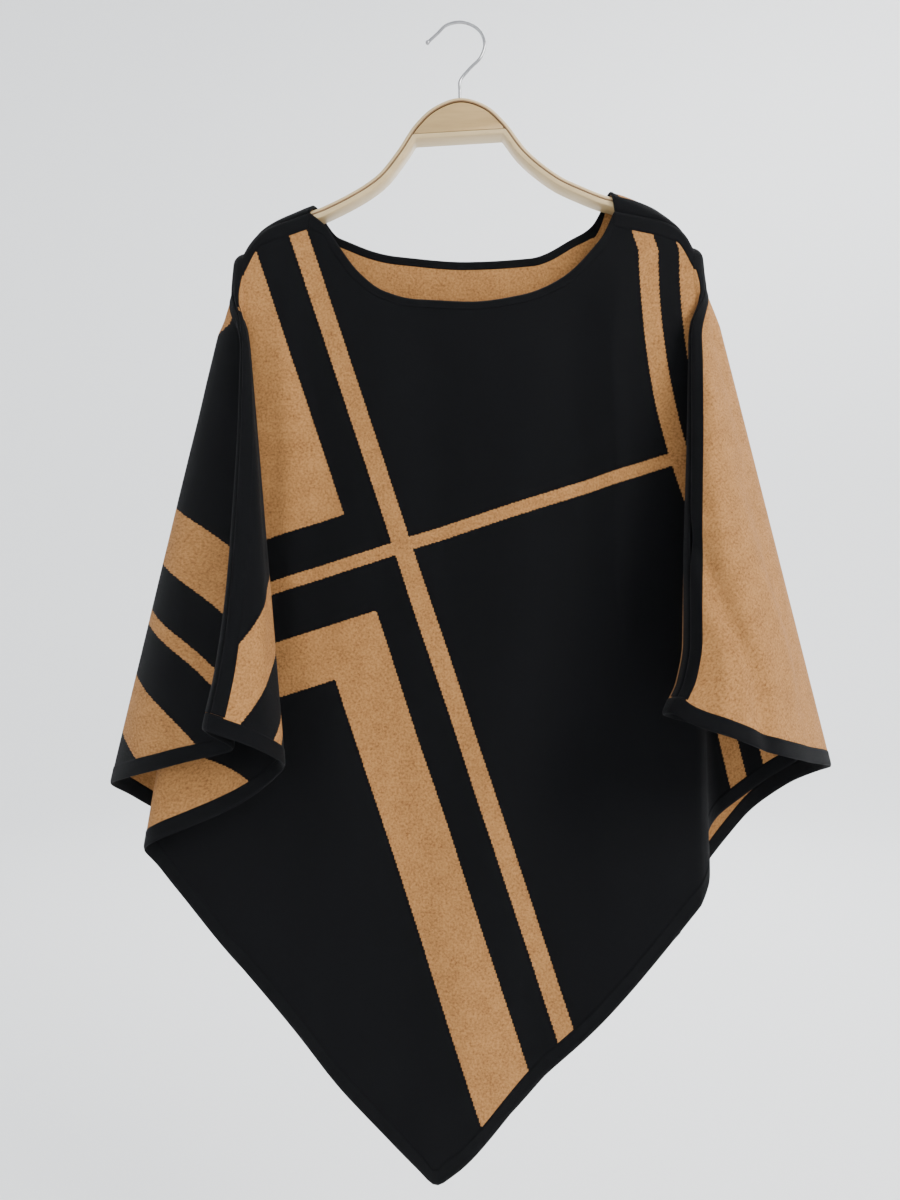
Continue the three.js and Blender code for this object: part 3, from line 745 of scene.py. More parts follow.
class Panel:
    """The flat cut of one panel: its edges and where its bands join it."""

    def __init__(self, face: Face) -> None:
        """Reads the edges of a panel.

        Args:
            face: which panel it is.
        """
        self.face = face.value
        hem = FRONT_HEM if face is Face.FRONT else BACK_HEM
        self.hem_rows = Table(("x", "z"), (
            (LEFT.tip[0], self.tip_hem(LEFT)),
            *hem,
            (RIGHT.tip[0], self.tip_hem(RIGHT)),
        ))
        self.neck_rows = FRONT_NECK if face is Face.FRONT else BACK_NECK

    def tip_hem(self, side: Side) -> float:
        """Gives the height of the hem under a tip.

        Args:
            side: the side of the garment.

        Returns:
            The height.
        """
        long = side.folds.values("long")[0 if self.face > 0 else -1]
        lean = float(fore_at(np.array(side.tip[0]), np.array(self.face)))
        return side.tip[1] - CAP_RADIUS - (long - QUARTER) * math.cos(lean)

    def seam(self, x: np.ndarray) -> np.ndarray:
        """Gives the seam's arc, measured down this panel's own face.

        Args:
            x: where along the hanger.

        Returns:
            The arc.
        """
        return self.face * SEAM_ARC.read("arc", x)

    def neck(self, x: np.ndarray) -> np.ndarray:
        """Gives the neckline's arc.

        Args:
            x: where along the hanger.

        Returns:
            The arc.
        """
        return self.neck_rows.read("arc", x)

    def hem(self, x: np.ndarray) -> np.ndarray:
        """Gives the hem's arc.

        Args:
            x: where along the hanger.

        Returns:
            The arc.
        """
        lean = fore_at(x, np.full_like(x, self.face))
        return QUARTER + (ridge(x) - CAP_RADIUS - self.hem_rows.read("z", x)) / np.cos(lean)

    def slant(self, edge: Callable, x: np.ndarray) -> np.ndarray:
        """Gives how much longer a vertical step is than the step square to an edge.

        Args:
            edge: gives the edge's arc at x.
            x: where along the hanger.

        Returns:
            The ratio, 1 or more.
        """
        x = np.clip(x, LEFT.tip[0] + 1, RIGHT.tip[0] - 1)
        rise = (ridge(x + 1) - edge(x + 1) - ridge(x - 1) + edge(x - 1)) / 2
        return np.hypot(1, rise)

    def joint(self, x: np.ndarray) -> np.ndarray:
        """Gives the arc where the panel meets its upper bands.

        Args:
            x: where along the hanger.

        Returns:
            The arc.
        """
        in_neck = (x > NECK_LEFT) & (x < NECK_RIGHT)
        corner = smooth(np.minimum(x - NECK_LEFT, NECK_RIGHT - x) / SHOULDER_BAND_DEPTH)
        even = np.minimum(SHOULDER_BAND_DEPTH, NECK_BAND * self.slant(self.neck, x))
        from_tip = np.minimum(x - LEFT.tip[0], RIGHT.tip[0] - x)
        shoulder = lerp(FAN_START, SHOULDER_BAND_DEPTH, smooth(from_tip / SHOULDER_BAND_DEPTH))
        depth = np.where(in_neck, lerp(SHOULDER_BAND_DEPTH, even, corner), shoulder)
        return np.where(in_neck, self.neck(x), self.seam(x)) + depth

    def joint_inset(self, x: np.ndarray) -> np.ndarray:
        """Gives half the gap at the upper joint, measured down the panel.

        Args:
            x: where along the hanger.

        Returns:
            The inset.
        """
        return JOINT_GAP / 2 * np.minimum(STEEPEST, self.slant(self.joint, x))

    def hem_inset(self, x: np.ndarray, depth: np.ndarray) -> np.ndarray:
        """Gives the arc of a line inside the hem.

        Args:
            x: where along the hanger.
            depth: how far inside the hem the line runs.

        Returns:
            The arc.
        """
        return self.hem(x) - depth * np.minimum(STEEPEST, self.slant(self.hem, x))

    def flat_for(self, side: Side, angle: np.ndarray) -> np.ndarray:
        """Turns an angle from this panel's plumb line into one from the front's.

        Args:
            side: the side of the garment.
            angle: the angle from this panel's plumb line.

        Returns:
            The angle in the side's table.
        """
        return angle if self.face > 0 else 2 * side.seam - angle

    def body(self, x: np.ndarray, length: np.ndarray) -> Spots:
        """Names places on the body.

        Args:
            x: where along the hanger.
            length: the length down this panel's own face.

        Returns:
            The places.
        """
        x, length = np.broadcast_arrays(np.asarray(x, dtype=float), length)
        return Spots(np.zeros(x.shape, dtype=int), x.copy(), self.face * length)

    def fan(self, side: Side, angle: np.ndarray, radius: np.ndarray) -> Spots:
        """Names places on a side.

        Args:
            side: the side of the garment.
            angle: the angle from this panel's plumb line.
            radius: the distance from the tip.

        Returns:
            The places.
        """
        angle, radius = np.broadcast_arrays(np.asarray(angle, dtype=float), radius)
        code = 1 if side is LEFT else 2
        return Spots(np.full(angle.shape, code), self.flat_for(side, angle), radius.copy())

    def turn_for(self, side: Side, angle: np.ndarray, radius: np.ndarray, length: float) -> np.ndarray:
        """Gives the turn that shows as a length across a line from the tip.

        Args:
            side: the side of the garment.
            angle: the angle from this panel's plumb line.
            radius: the distance from the tip.
            length: the length across.

        Returns:
            The turn in degrees.
        """
        step = np.degrees(NORMAL_STEP / radius)
        ahead = self.fan(side, angle + step, radius).points()
        behind = self.fan(side, angle - step, radius).points()
        shown = np.linalg.norm(ahead - behind, axis=-1)
        return 2 * step * length / np.maximum(shown, NORMAL_STEP * CROWDED)

    def column_foot(self, side: Side, share: np.ndarray) -> np.ndarray:
        """Gives where a fan column meets the hem band.

        Args:
            side: the side of the garment.
            share: how far the column lies from the plumb line toward the seam band.

        Returns:
            The distance from the tip.
        """
        radius = np.full_like(share, side.folds.values("long")[0])
        for _ in range(8):
            flat = self.flat_for(side, share * band_angle(side, radius))
            radius = inside_hem(side, flat, HEM_BAND + JOINT_GAP / 2)
        return radius


FAN_START = SEAM_BAND * math.sqrt(2) * TOP_MARGIN


def band_angle(side: Side, radius: np.ndarray) -> np.ndarray:
    """Gives the angle of the seam band's inner border.

    Args:
        side: the side of the garment.
        radius: the distance from the tip.

    Returns:
        The angle in degrees.
    """
    return side.seam - np.degrees(np.arcsin(SEAM_BAND / radius))


def body_stations() -> np.ndarray:
    """Gives where the body's columns stand, closest together at the neck's corners.

    Returns:
        Their x values, left to right.
    """
    share = np.arange(SHOULDER_COLUMNS) / SHOULDER_COLUMNS
    corner = np.array(NECK_CORNER)
    middle = np.linspace(NECK_LEFT + NECK_MARGIN, NECK_RIGHT - NECK_MARGIN, NECK_COLUMNS)
    return np.concatenate([
        lerp(LEFT.tip[0], NECK_LEFT, share),
        NECK_LEFT + corner,
        middle,
        NECK_RIGHT - corner[::-1],
        lerp(RIGHT.tip[0], NECK_RIGHT, share)[::-1],
    ])


def fall(rows: int) -> np.ndarray:
    """Spreads rows down the cloth, closest together at the top.

    Args:
        rows: how many steps there are.

    Returns:
        The share of the way down for each row, as a column.
    """
    s = np.arange(rows + 1) / rows
    return lerp(s ** ROW_SPREAD, s, ROW_EVEN)[:, None]


def side_by_side(*grids: Spots) -> Spots:
    """Joins grids into one, left to right.

    Args:
        grids: grids with as many rows each.

    Returns:
        The one grid.
    """
    return Spots(
        np.concatenate([g.kind for g in grids], axis=1),
        np.concatenate([g.first for g in grids], axis=1),
        np.concatenate([g.second for g in grids], axis=1),
    )


def panel_grid(panel: Panel) -> Spots:
    """Lays the grid of a panel, whose edges are tucked into its bands.

    Args:
        panel: the panel's cut.

    Returns:
        The grid.
    """
    down = fall(ROWS)
    shares = (FAN_COLUMNS - np.arange(FAN_COLUMNS)) / FAN_COLUMNS

    def fan(side: Side, share: np.ndarray) -> Spots:
        radius = lerp(FAN_START - TUCK, panel.column_foot(side, share)[None, :] + TUCK, down)
        edge = band_angle(side, radius)
        return panel.fan(side, share[None, :] * (edge + panel.turn_for(side, edge, radius, TUCK)), radius)

    x = body_stations()
    top = panel.joint(x) - TUCK * np.minimum(STEEPEST, panel.slant(panel.joint, x))
    foot = panel.hem_inset(x, HEM_BAND - TUCK)
    return side_by_side(
        fan(LEFT, shares),
        panel.body(x[None, :], lerp(top[None, :], foot[None, :], down)),
        fan(RIGHT, shares[::-1]),
    )


def hem_band_grid(panel: Panel) -> Spots:
    """Lays the grid of a hem band, from its joint to the free edge.

    Args:
        panel: the panel's cut.

    Returns:
        The grid.
    """
    half = JOINT_GAP / 2
    across = (np.arange(BAND_CELLS + 1) / BAND_CELLS)[:, None]
    depth = lerp(HEM_BAND - half, 0, across)
    shares = (FAN_COLUMNS - np.arange(FAN_COLUMNS)) / FAN_COLUMNS

    def fan(side: Side) -> np.ndarray:
        start = side.seam - np.degrees(half / hem_radius(side, side.seam))
        end = band_angle(side, panel.column_foot(side, np.array([1.0])))[0]
        joined = np.linspace(start, end, 7)[:-1]
        rest = shares * band_angle(side, panel.column_foot(side, shares))
        return np.concatenate([joined, rest])

    def spots(side: Side, angles: np.ndarray) -> Spots:
        flat = panel.flat_for(side, angles[None, :] + 0 * depth)
        return Spots(np.full(flat.shape, 1 if side is LEFT else 2), flat, inside_hem(side, flat, depth))

    x = body_stations()[None, :] + 0 * depth
    return side_by_side(
        spots(LEFT, fan(LEFT)),
        panel.body(x, panel.hem_inset(x, depth)),
        spots(RIGHT, fan(RIGHT)[::-1]),
    )


def seam_band_grid(panel: Panel, side: Side) -> Spots:
    """Lays the grid of a seam band, from the seam to its inner border.

    Args:
        panel: the panel's cut.
        side: the side of the garment.

    Returns:
        The grid, whose columns run from the neck over the shoulder and down the arm.
    """
    half = JOINT_GAP / 2
    t = (np.arange(BAND_CELLS + 1) / BAND_CELLS)[:, None]
    neck_end = NECK_LEFT if side is LEFT else NECK_RIGHT
    share = np.arange(SHOULDER_COLUMNS * 2 + 1) / (SHOULDER_COLUMNS * 2)
    x = lerp(neck_end, side.tip[0], share)
    x[0] = neck_end + side.out * JOINT_GAP
    outer = panel.seam(x) + half
    inner = panel.joint(x) - panel.joint_inset(x)
    shoulder = panel.body(x[None, :], lerp(outer[None, :], inner[None, :], t))

    share = np.arange(1, TIP_STEPS) / TIP_STEPS
    start = share * FAN_START
    edge = np.radians(side.seam - panel.turn_for(side, np.full_like(start, side.seam), start, half))
    foot = np.radians(share * band_angle(side, FAN_START))
    across = lerp(np.sin(edge) * start, np.sin(foot) * (FAN_START - half), t)
    along = lerp(np.cos(edge) * start, np.cos(foot) * (FAN_START - half), t)
    tip = panel.fan(side, np.degrees(np.arctan2(across, along)), np.hypot(across, along))

    end = band_angle(side, panel.column_foot(side, np.array([1.0])))[0]
    angle = lerp(side.seam, end, t)
    foot = inside_hem(side, panel.flat_for(side, angle), HEM_BAND + half)
    down = fall(ROWS).T
    start = FAN_START + np.where(np.arange(ROWS + 1) == 0, -half, half)[None, :] * t
    radius = lerp(start, foot, down)
    outer = side.seam - panel.turn_for(side, np.full_like(radius, side.seam), radius, half)
    border = band_angle(side, radius)
    inner = border + panel.turn_for(side, border, radius, half)
    arm = panel.fan(side, lerp(outer, inner, t), radius)
    return side_by_side(shoulder, tip, arm)


def neck_band_grid(panel: Panel) -> Spots:
    """Lays the grid of a neck band, from the free edge to its joint.

    Args:
        panel: the panel's cut.

    Returns:
        The grid.
    """
    t = (np.arange(BAND_CELLS + 1) / BAND_CELLS)[:, None]
    x = body_stations()
    x = x[(x >= NECK_LEFT) & (x <= NECK_RIGHT)]
    x = np.sort(np.concatenate([x, (x[1:] + x[:-1]) / 2]))
    inner = panel.joint(x) - panel.joint_inset(x)
    return panel.body(x[None, :], lerp(panel.neck(x)[None, :] * 1.0, inner[None, :], t))


# Creases listed on the flat cut: their ends, across and up, their half width, and how far
# the cloth stands out on them, which is inward where it is negative.
FRONT_CREASES = (
    (-70, -300, -40, -760, 24, 3.2),
    (-20, -330, 10, -900, 30, -3.8),
    (70, -310, 30, -840, 26, 3.6),
    (118, -280, 120, -700, 20, -3.4),
    (160, -260, 176, -640, 16, 3.0),
    (-140, -260, -128, -640, 18, -3.2),
    (-170, -300, -160, -620, 12, 2.6),
    (-120, -700, -60, -1010, 26, 3.4),
    (90, -700, 130, -920, 24, -3.2),
    (-337, -412, -470, -600, 13, 1.8),
    (330, -420, 400, -560, 16, -1.8),
)
BACK_CREASES = (
    (-90, -290, -70, -820, 26, -2.4),
    (0, -300, 20, -960, 30, 2.6),
    (80, -300, 60, -840, 24, -2.2),
    (140, -280, 160, -700, 22, 2.2),
    (-150, -300, -140, -760, 20, 2.0),
    (440, -430, 500, -640, 10, -4.6),
    (480, -500, 524, -600, 9, 3.0),
    (315, -330, 440, -480, 10, 3.0),
    (345, -420, 385, -560, 15, -2.4),
    (400, -500, 440, -640, 14, 2.2),
    (-282, -400, -400, -660, 15, -2.0),
    (-60, -760, -20, -1040, 26, -2.4),
)
CREASE_FREE = 60.0
CREASE_END = 90.0


def crease_depth(spots: Spots, face: Face) -> np.ndarray:
    """Adds up the creases at each place.

    Args:
        spots: the grid.
        face: which panel it is on.

    Returns:
        How far the cloth stands out there.
    """
    cut = spots.cut()
    total = np.zeros(spots.kind.shape)
    for x0, z0, x1, z1, wide, deep in FRONT_CREASES if face is Face.FRONT else BACK_CREASES:
        start, way = np.array([x0, z0]), np.array([x1 - x0, z1 - z0])
        length = np.linalg.norm(way)
        along = (cut - start) @ way / length
        off = (cut - start) @ np.array([-way[1], way[0]]) / length
        off = off + 0.25 * wide * np.sin(along / (2.2 * wide))
        ends = smooth(along / CREASE_END + 0.5) * smooth((length - along) / CREASE_END + 0.5)
        total += deep * ends * np.exp(-(off / wide) ** 2)
    return total * smooth(np.abs(spots.second) / CREASE_FREE - 0.4)


def shell(name: str, spots: Spots, half: np.ndarray, swing: np.ndarray) -> bpy.types.Object:
    """Makes a closed thin shell on a grid of places.

    Args:
        name: the piece's name.
        spots: the grid.
        half: half the shell's thickness at each place.
        swing: how far the shell stands off its grid at each place.

    Returns:
        The piece, with its outside in the first material slot and its inside in the second.
    """
    rows, columns = spots.kind.shape
    middle, normal = spots.points(), spots.normals()
    layers = [middle + normal * (swing + sign * half)[..., None] for sign in (1, -1)]
    points = np.concatenate([layer.reshape(-1, 3) for layer in layers]) * MM
    top = np.arange(rows * columns).reshape(rows, columns)
    under = top + rows * columns

    def quads(a: np.ndarray, b: np.ndarray, c: np.ndarray, d: np.ndarray) -> np.ndarray:
        return np.stack([a.ravel(), b.ravel(), c.ravel(), d.ravel()], axis=1)

    outside = quads(top[:-1, :-1], top[:-1, 1:], top[1:, 1:], top[1:, :-1])
    inside = quads(under[:-1, :-1], under[1:, :-1], under[1:, 1:], under[:-1, 1:])
    rim = [
        quads(top[0, :-1], under[0, :-1], under[0, 1:], top[0, 1:]),
        quads(top[-1, :-1], top[-1, 1:], under[-1, 1:], under[-1, :-1]),
        quads(top[:-1, 0], top[1:, 0], under[1:, 0], under[:-1, 0]),
        quads(top[:-1, -1], under[:-1, -1], under[1:, -1], top[1:, -1]),
    ]
    faces = np.concatenate([outside, inside, *rim])
    a, b, c = (points[faces[:, k]] for k in range(3))
    if np.einsum("ij,ij->", a, np.cross(b, c)) < 0:
        faces = faces[:, ::-1]
    mesh = bpy.data.meshes.new(name)
    mesh.from_pydata(points.tolist(), [], faces.tolist())
    mesh.polygons.foreach_set("use_smooth", np.ones(len(faces), dtype=bool))
    slot = np.zeros(len(faces), dtype=np.int32)
    slot[len(outside):len(outside) + len(inside)] = 1
    mesh.polygons.foreach_set("material_index", slot)
    add_uv(mesh, "cut", spots.cut(), faces)
    add_uv(mesh, "strip", strip_lengths(middle), faces)
    mesh.update()
    mesh.set_sharp_from_angle(angle=math.radians(SHARP_ANGLE))
    piece = bpy.data.objects.new(name, mesh)
    bpy.context.scene.collection.objects.link(piece)
    return piece


def strip_lengths(middle: np.ndarray) -> np.ndarray:
    """Measures a grid along its middle row and across its columns.

    Args:
        middle: the grid's points.

    Returns:
        Lengths along and across, in millimetres.
    """
    line = middle[len(middle) // 2]
    along = np.cumsum(np.linalg.norm(np.diff(line, axis=0, prepend=line[:1]), axis=-1))
    across = np.cumsum(np.linalg.norm(np.diff(middle, axis=0, prepend=middle[:1]), axis=-1), axis=0)
    return np.stack([along[None, :] + 0 * across, across], axis=-1)


def add_uv(mesh: bpy.types.Mesh, name: str, places: np.ndarray, faces: np.ndarray) -> None:
    """Writes a UV map in metres onto both layers of a shell.

    Args:
        mesh: the shell's mesh.
        name: the map's name.
        places: the map's values on one layer, in millimetres.
        faces: the shell's faces.
    """
    values = np.concatenate([places.reshape(-1, 2)] * 2) * MM
    uv = mesh.uv_layers.new(name=name)
    uv.data.foreach_set("uv", values[faces.ravel()].ravel())


def band_profile(ridge_at: float) -> np.ndarray:
    """Gives half the thickness across a band: round at its borders, with a fine ridge.

    Args:
        ridge_at: where the ridge runs, as a share of the way across.

    Returns:
        Half thicknesses, as a column.
    """
    t = np.arange(BAND_CELLS + 1) / BAND_CELLS
    round_off = np.sqrt(np.clip(1 - np.abs(2 * t - 1) ** BAND_SQUARENESS, BAND_LIP ** 2, 1))
    bead = RIDGE_RISE * np.exp(-((t - ridge_at) / RIDGE_WIDTH) ** 2)
    return (BAND_THICK / 2 * round_off + bead)[:, None]


class Graph:
    """A short way to write a material's nodes."""

    def __init__(self, name: str) -> None:
        """Starts a material.

        Args:
            name: the material's name.
        """
        self.material = bpy.data.materials.new(name)
        self.material.use_nodes = True
        self.tree = self.material.node_tree
        self.shader = self.tree.nodes["Principled BSDF"]

    def node(self, kind: str, **settings: object) -> bpy.types.Node:
        """Adds a node.

        Args:
            kind: the node's type.
            **settings: its properties.

        Returns:
            The node.
        """
        node = self.tree.nodes.new(kind)
        for key, value in settings.items():
            setattr(node, key, value)
        return node

    def feed(self, socket: bpy.types.NodeSocket, value: object) -> None:
        """Gives a socket a number, a colour or another socket.

        Args:
            socket: the input.
            value: what it gets.
        """
        if isinstance(value, bpy.types.NodeSocket):
            self.tree.links.new(value, socket)
        else:
            socket.default_value = value

    def math(self, operation: str, a: object, b: object = 0.0, c: object = 0.0) -> bpy.types.NodeSocket:
        """Works something out.

        Args:
            operation: the math node's operation.
            a: its first value.
            b: its second value.
            c: its third value.

        Returns:
            The result.
        """
        node = self.node("ShaderNodeMath", operation=operation)
        for socket, value in zip(node.inputs, (a, b, c)):
            self.feed(socket, value)
        return node.outputs[0]

    def mix(self, share: object, a: object, b: object, blend: str = "MIX") -> bpy.types.NodeSocket:
        """Mixes two colours.

        Args:
            share: how much of the second.
            a: the first colour.
            b: the second colour.
            blend: how they mix.

        Returns:
            The mixed colour.
        """
        node = self.node("ShaderNodeMix", data_type="RGBA", blend_type=blend)
        self.feed(node.inputs[0], share)
        self.feed(node.inputs[6], a)
        self.feed(node.inputs[7], b)
        return node.outputs[2]

    def uv(self, name: str) -> tuple:
        """Reads a UV map.

        Args:
            name: the map's name.

        Returns:
            Its two values and the whole vector.
        """
        vector = self.node("ShaderNodeUVMap", uv_map=name).outputs[0]
        parts = self.node("ShaderNodeSeparateXYZ")
        self.feed(parts.inputs[0], vector)
        return parts.outputs[0], parts.outputs[1], vector

    def noise(self, vector: object, scale: float, detail: float = 2.0, rough: float = 0.5) -> bpy.types.NodeSocket:
        """Adds soft noise.

        Args:
            vector: where it is read.
            scale: how fine it is.
            detail: how many finer layers it has.
            rough: how strong they are.

        Returns:
            The noise's value.
        """
        node = self.node("ShaderNodeTexNoise")
        self.feed(node.inputs["Vector"], vector)
        node.inputs["Scale"].default_value = scale
        node.inputs["Detail"].default_value = detail
        node.inputs["Roughness"].default_value = rough
        return node.outputs[0]

    def within(self, value: object, band: tuple) -> bpy.types.NodeSocket:
        """Tests whether a value lies between two others.

        Args:
            value: the value.
            band: the low and the high one.

        Returns:
            1 inside and 0 outside.
        """
        above = self.math("GREATER_THAN", value, band[0])
        return self.math("MULTIPLY", above, self.math("LESS_THAN", value, band[1]))

    def finish(self, color: object, rough: object, bump: object, strength: float, deep: float) -> None:
        """Joins the results to the shader.

        Args:
            color: the base colour.
            rough: the roughness.
            bump: the height.
            strength: how strong the bump is.
            deep: the bump's depth in metres.
        """
        self.feed(self.shader.inputs["Base Color"], color)
        self.feed(self.shader.inputs["Roughness"], rough)
        node = self.node("ShaderNodeBump")
        node.inputs["Strength"].default_value = strength
        node.inputs["Distance"].default_value = deep
        self.feed(node.inputs["Height"], bump)
        self.feed(self.shader.inputs["Normal"], node.outputs[0])


@dataclass(frozen=True)
class Yarns:
    """The two yarns of the knit.

    Attributes:
        black: the dark yarn's colour.
        camel: the light yarn's colour.
        camel_dark_and_valley_shade: the darker fibres in the light yarn, and the painted shade in the stitches'
            valleys.
        fuzz: how much light the raised fibres catch.
    """

    black: tuple = (0.0014, 0.0015, 0.0020, 1)
    # black_pale: the dark yarn's paler flecks, which the knit lays on the stitch crests as a painted highlight.
    black_pale: tuple = (0.0055, 0.0058, 0.0070, 1)
    camel: tuple = (0.43, 0.21, 0.074, 1)
    camel_dark_and_valley_shade: tuple = (0.135, 0.055, 0.015, 1)
    fuzz: float = 0.035
    fuzz_rough: float = 0.45

    def stitches(self, graph: Graph, across: object, up: object) -> tuple:
        """Draws stocking stitches.

        Args:
            graph: the material.
            across: the place across the wales, in metres.
            up: the place along the wales, in metres.

        Returns:
            The stitches' height and a random value for each stitch.
        """
        wale = graph.math("DIVIDE", across, WALE * MM)
        part = graph.math("SUBTRACT", graph.math("FRACT", wale), 0.5)
        leg = graph.math("ABSOLUTE", part)
        lean = graph.math("MULTIPLY_ADD", leg, 1.2, graph.math("DIVIDE", up, COURSE * MM))
        loops = graph.math("MULTIPLY_ADD", graph.math("SINE", graph.math("MULTIPLY", lean, 2 * math.pi)), 0.5, 0.5)
        legs = graph.math("SINE", graph.math("MULTIPLY", leg, 2 * math.pi))
        height = graph.math("MULTIPLY", legs, graph.math("MULTIPLY_ADD", loops, 0.55, 0.45))
        cell = graph.node("ShaderNodeCombineXYZ")
        graph.feed(cell.inputs[0], graph.math("FLOOR", wale))
        graph.feed(cell.inputs[1], graph.math("FLOOR", lean))
        random = graph.node("ShaderNodeTexWhiteNoise", noise_dimensions="2D")
        graph.feed(random.inputs["Vector"], cell.outputs[0])
        return height, random.outputs[0]

    def finish(self, graph: Graph, light: object, height: object, random: object, vector: object) -> None:
        """Colours the knit, with painted shade in the stitch valleys and a painted highlight on the dark yarn's stitch
        crests, and gives it its nap.

        Args:
            graph: the material.
            light: 1 where the light yarn shows.
            height: the stitches' height.
            random: a random value for each stitch.
            vector: where the noise is read.
        """
        patch = graph.noise(vector, 55.0, 3.0)
        mottle = graph.noise(vector, 430.0, 2.0)
        fibre = graph.noise(vector, 1400.0, 2.0, 0.7)
        heather = graph.math("MULTIPLY_ADD", random, 0.55, graph.math("MULTIPLY", fibre, 0.45))
        # Painted shade: the light yarn is darker in the stitches' valleys, on top of its own random heather and
        # blotches.
        valley = graph.math("SUBTRACT", 1.0, height)
        deep = graph.math("MULTIPLY_ADD", valley, 0.35, graph.math("MULTIPLY_ADD", heather, 0.5, -0.12), )
        deep = graph.math("MULTIPLY_ADD", graph.math("SUBTRACT", patch, 0.5), 0.6, deep)
        deep = graph.math("MULTIPLY_ADD", graph.math("SUBTRACT", mottle, 0.5), 1.6, deep)
        camel = graph.mix(deep, self.camel, self.camel_dark_and_valley_shade)
        # Painted highlight: the dark yarn turns paler on the raised stitch crests, where the random heather is high.
        black = graph.mix(graph.math("MULTIPLY", heather, height), self.black, self.black_pale)
        color = graph.mix(light, black, camel)
        rough = graph.math("MULTIPLY_ADD", heather, 0.12, 0.84)
        bump = graph.math("MULTIPLY_ADD", fibre, 0.35, height)
        graph.finish(color, rough, bump, 0.45, 0.0005)
        graph.shader.inputs["Sheen Weight"].default_value = self.fuzz
        graph.shader.inputs["Sheen Roughness"].default_value = self.fuzz_rough
        graph.shader.inputs["Specular IOR Level"].default_value = 0.1

    def patterned(self, turned: Turned) -> bpy.types.Material:
        """Makes the panels' knit with its stripes and fields.

        Args:
            turned: which side of the knit it is.

        Returns:
            The material.
        """
        graph = Graph(f"stripe_knit_{turned.value}")
        across, up, vector = graph.uv("cut")
        height, random = self.stitches(graph, across, up)
        stepped = []
        for value, step in ((across, STEP_WIDE * MM), (up, STEP_HIGH * MM)):
            stepped.append(graph.math("SNAP", value, step))
        lean, rise = math.radians(LONG_LEAN), math.radians(CROSS_RISE)
        long = graph.math(
            "MULTIPLY_ADD", stepped[0], math.cos(lean) / MM, graph.math("MULTIPLY", stepped[1], math.sin(lean) / MM))
        cross = graph.math(
            "MULTIPLY_ADD", stepped[0], -math.sin(rise) / MM, graph.math("MULTIPLY", stepped[1], math.cos(rise) / MM))
        left_of = graph.math("LESS_THAN", long, LOWER_CORNER[1])
        above = graph.math("GREATER_THAN", cross, UPPER_ARM[0])
        below = graph.math("LESS_THAN", cross, LOWER_ARM[1])
        left_of_field = graph.math("LESS_THAN", long, RIGHT_STRIPE[1])
        shapes = [
            graph.math("MULTIPLY", above, graph.within(long, UPPER_CORNER)),
            graph.math("MULTIPLY", below, graph.within(long, LOWER_CORNER)),
            graph.math("MULTIPLY", left_of, graph.within(cross, UPPER_ARM)),
            graph.math("MULTIPLY", left_of, graph.within(cross, LOWER_ARM)),
            graph.within(long, THIN_LONG_STRIPE),
            graph.within(long, RIGHT_STRIPE),
            graph.math("MULTIPLY", left_of_field, graph.within(cross, THIN_CROSS_STRIPE)),
            graph.math("GREATER_THAN", long, RIGHT_FIELD),
        ]
        light = shapes[0]
        for shape in shapes[1:]:
            light = graph.math("MAXIMUM", light, shape)
        if turned is Turned.INSIDE:
            light = graph.math("SUBTRACT", 1.0, light)
        self.finish(graph, light, height, random, vector)
        return graph.material

    def plain(self, name: str) -> bpy.types.Material:
        """Makes the bands' plain black knit, whose wales run along the band.

        Args:
            name: the material's name.

        Returns:
            The material.
        """
        graph = Graph(name)
        along, across, vector = graph.uv("strip")
        height, random = self.stitches(graph, across, along)
        self.finish(graph, 0.0, height, random, vector)
        return graph.material


@dataclass(frozen=True)
class Wood:
    """Satin wood with a fine straight grain.

    Attributes:
        pale: the colour between the grain lines.
        grain: the grain lines' colour.
        fine: how close together the grain lines lie.
    """

    pale: tuple
    grain: tuple
    fine: float

    def material(self, name: str, along_x: float) -> bpy.types.Material:
        """Makes the material.

        Args:
            name: its name.
            along_x: how much the grain is stretched along the hanger.

        Returns:
            The material.
        """
        graph = Graph(name)
        where = graph.node("ShaderNodeTexCoord").outputs["Object"]
        mapping = graph.node("ShaderNodeMapping")
        mapping.inputs["Scale"].default_value = (along_x, 1.0, 1.0)
        graph.feed(mapping.inputs["Vector"], where)
        lines = graph.noise(mapping.outputs[0], self.fine, 4.0, 0.6)
        broad = graph.noise(mapping.outputs[0], self.fine * 0.16, 2.0)
        share = graph.math("MULTIPLY_ADD", broad, 0.5, graph.math("MULTIPLY_ADD", lines, 1.6, -0.75))
        share = graph.math("MINIMUM", graph.math("MAXIMUM", share, 0.0), 1.0)
        color = graph.mix(share, self.pale, self.grain)
        graph.finish(color, graph.math("MULTIPLY_ADD", lines, 0.2, 0.36), lines, 0.12, 0.0003)
        graph.shader.inputs["Coat Weight"].default_value = 0.15
        graph.shader.inputs["Coat Roughness"].default_value = 0.3
        return graph.material


def wire_material() -> bpy.types.Material:
    """Makes the hook's bright plated steel.

    Returns:
        The material.
    """
    graph = Graph("plated_wire")
    where = graph.node("ShaderNodeTexCoord").outputs["Object"]
    wear = graph.noise(where, 240.0, 3.0)
    color = graph.mix(wear, (0.30, 0.30, 0.31, 1), (0.46, 0.46, 0.47, 1))
    graph.finish(color, graph.math("MULTIPLY_ADD", wear, 0.12, 0.14), wear, 0.05, 0.0002)
    graph.shader.inputs["Metallic"].default_value = 1.0
    return graph.material


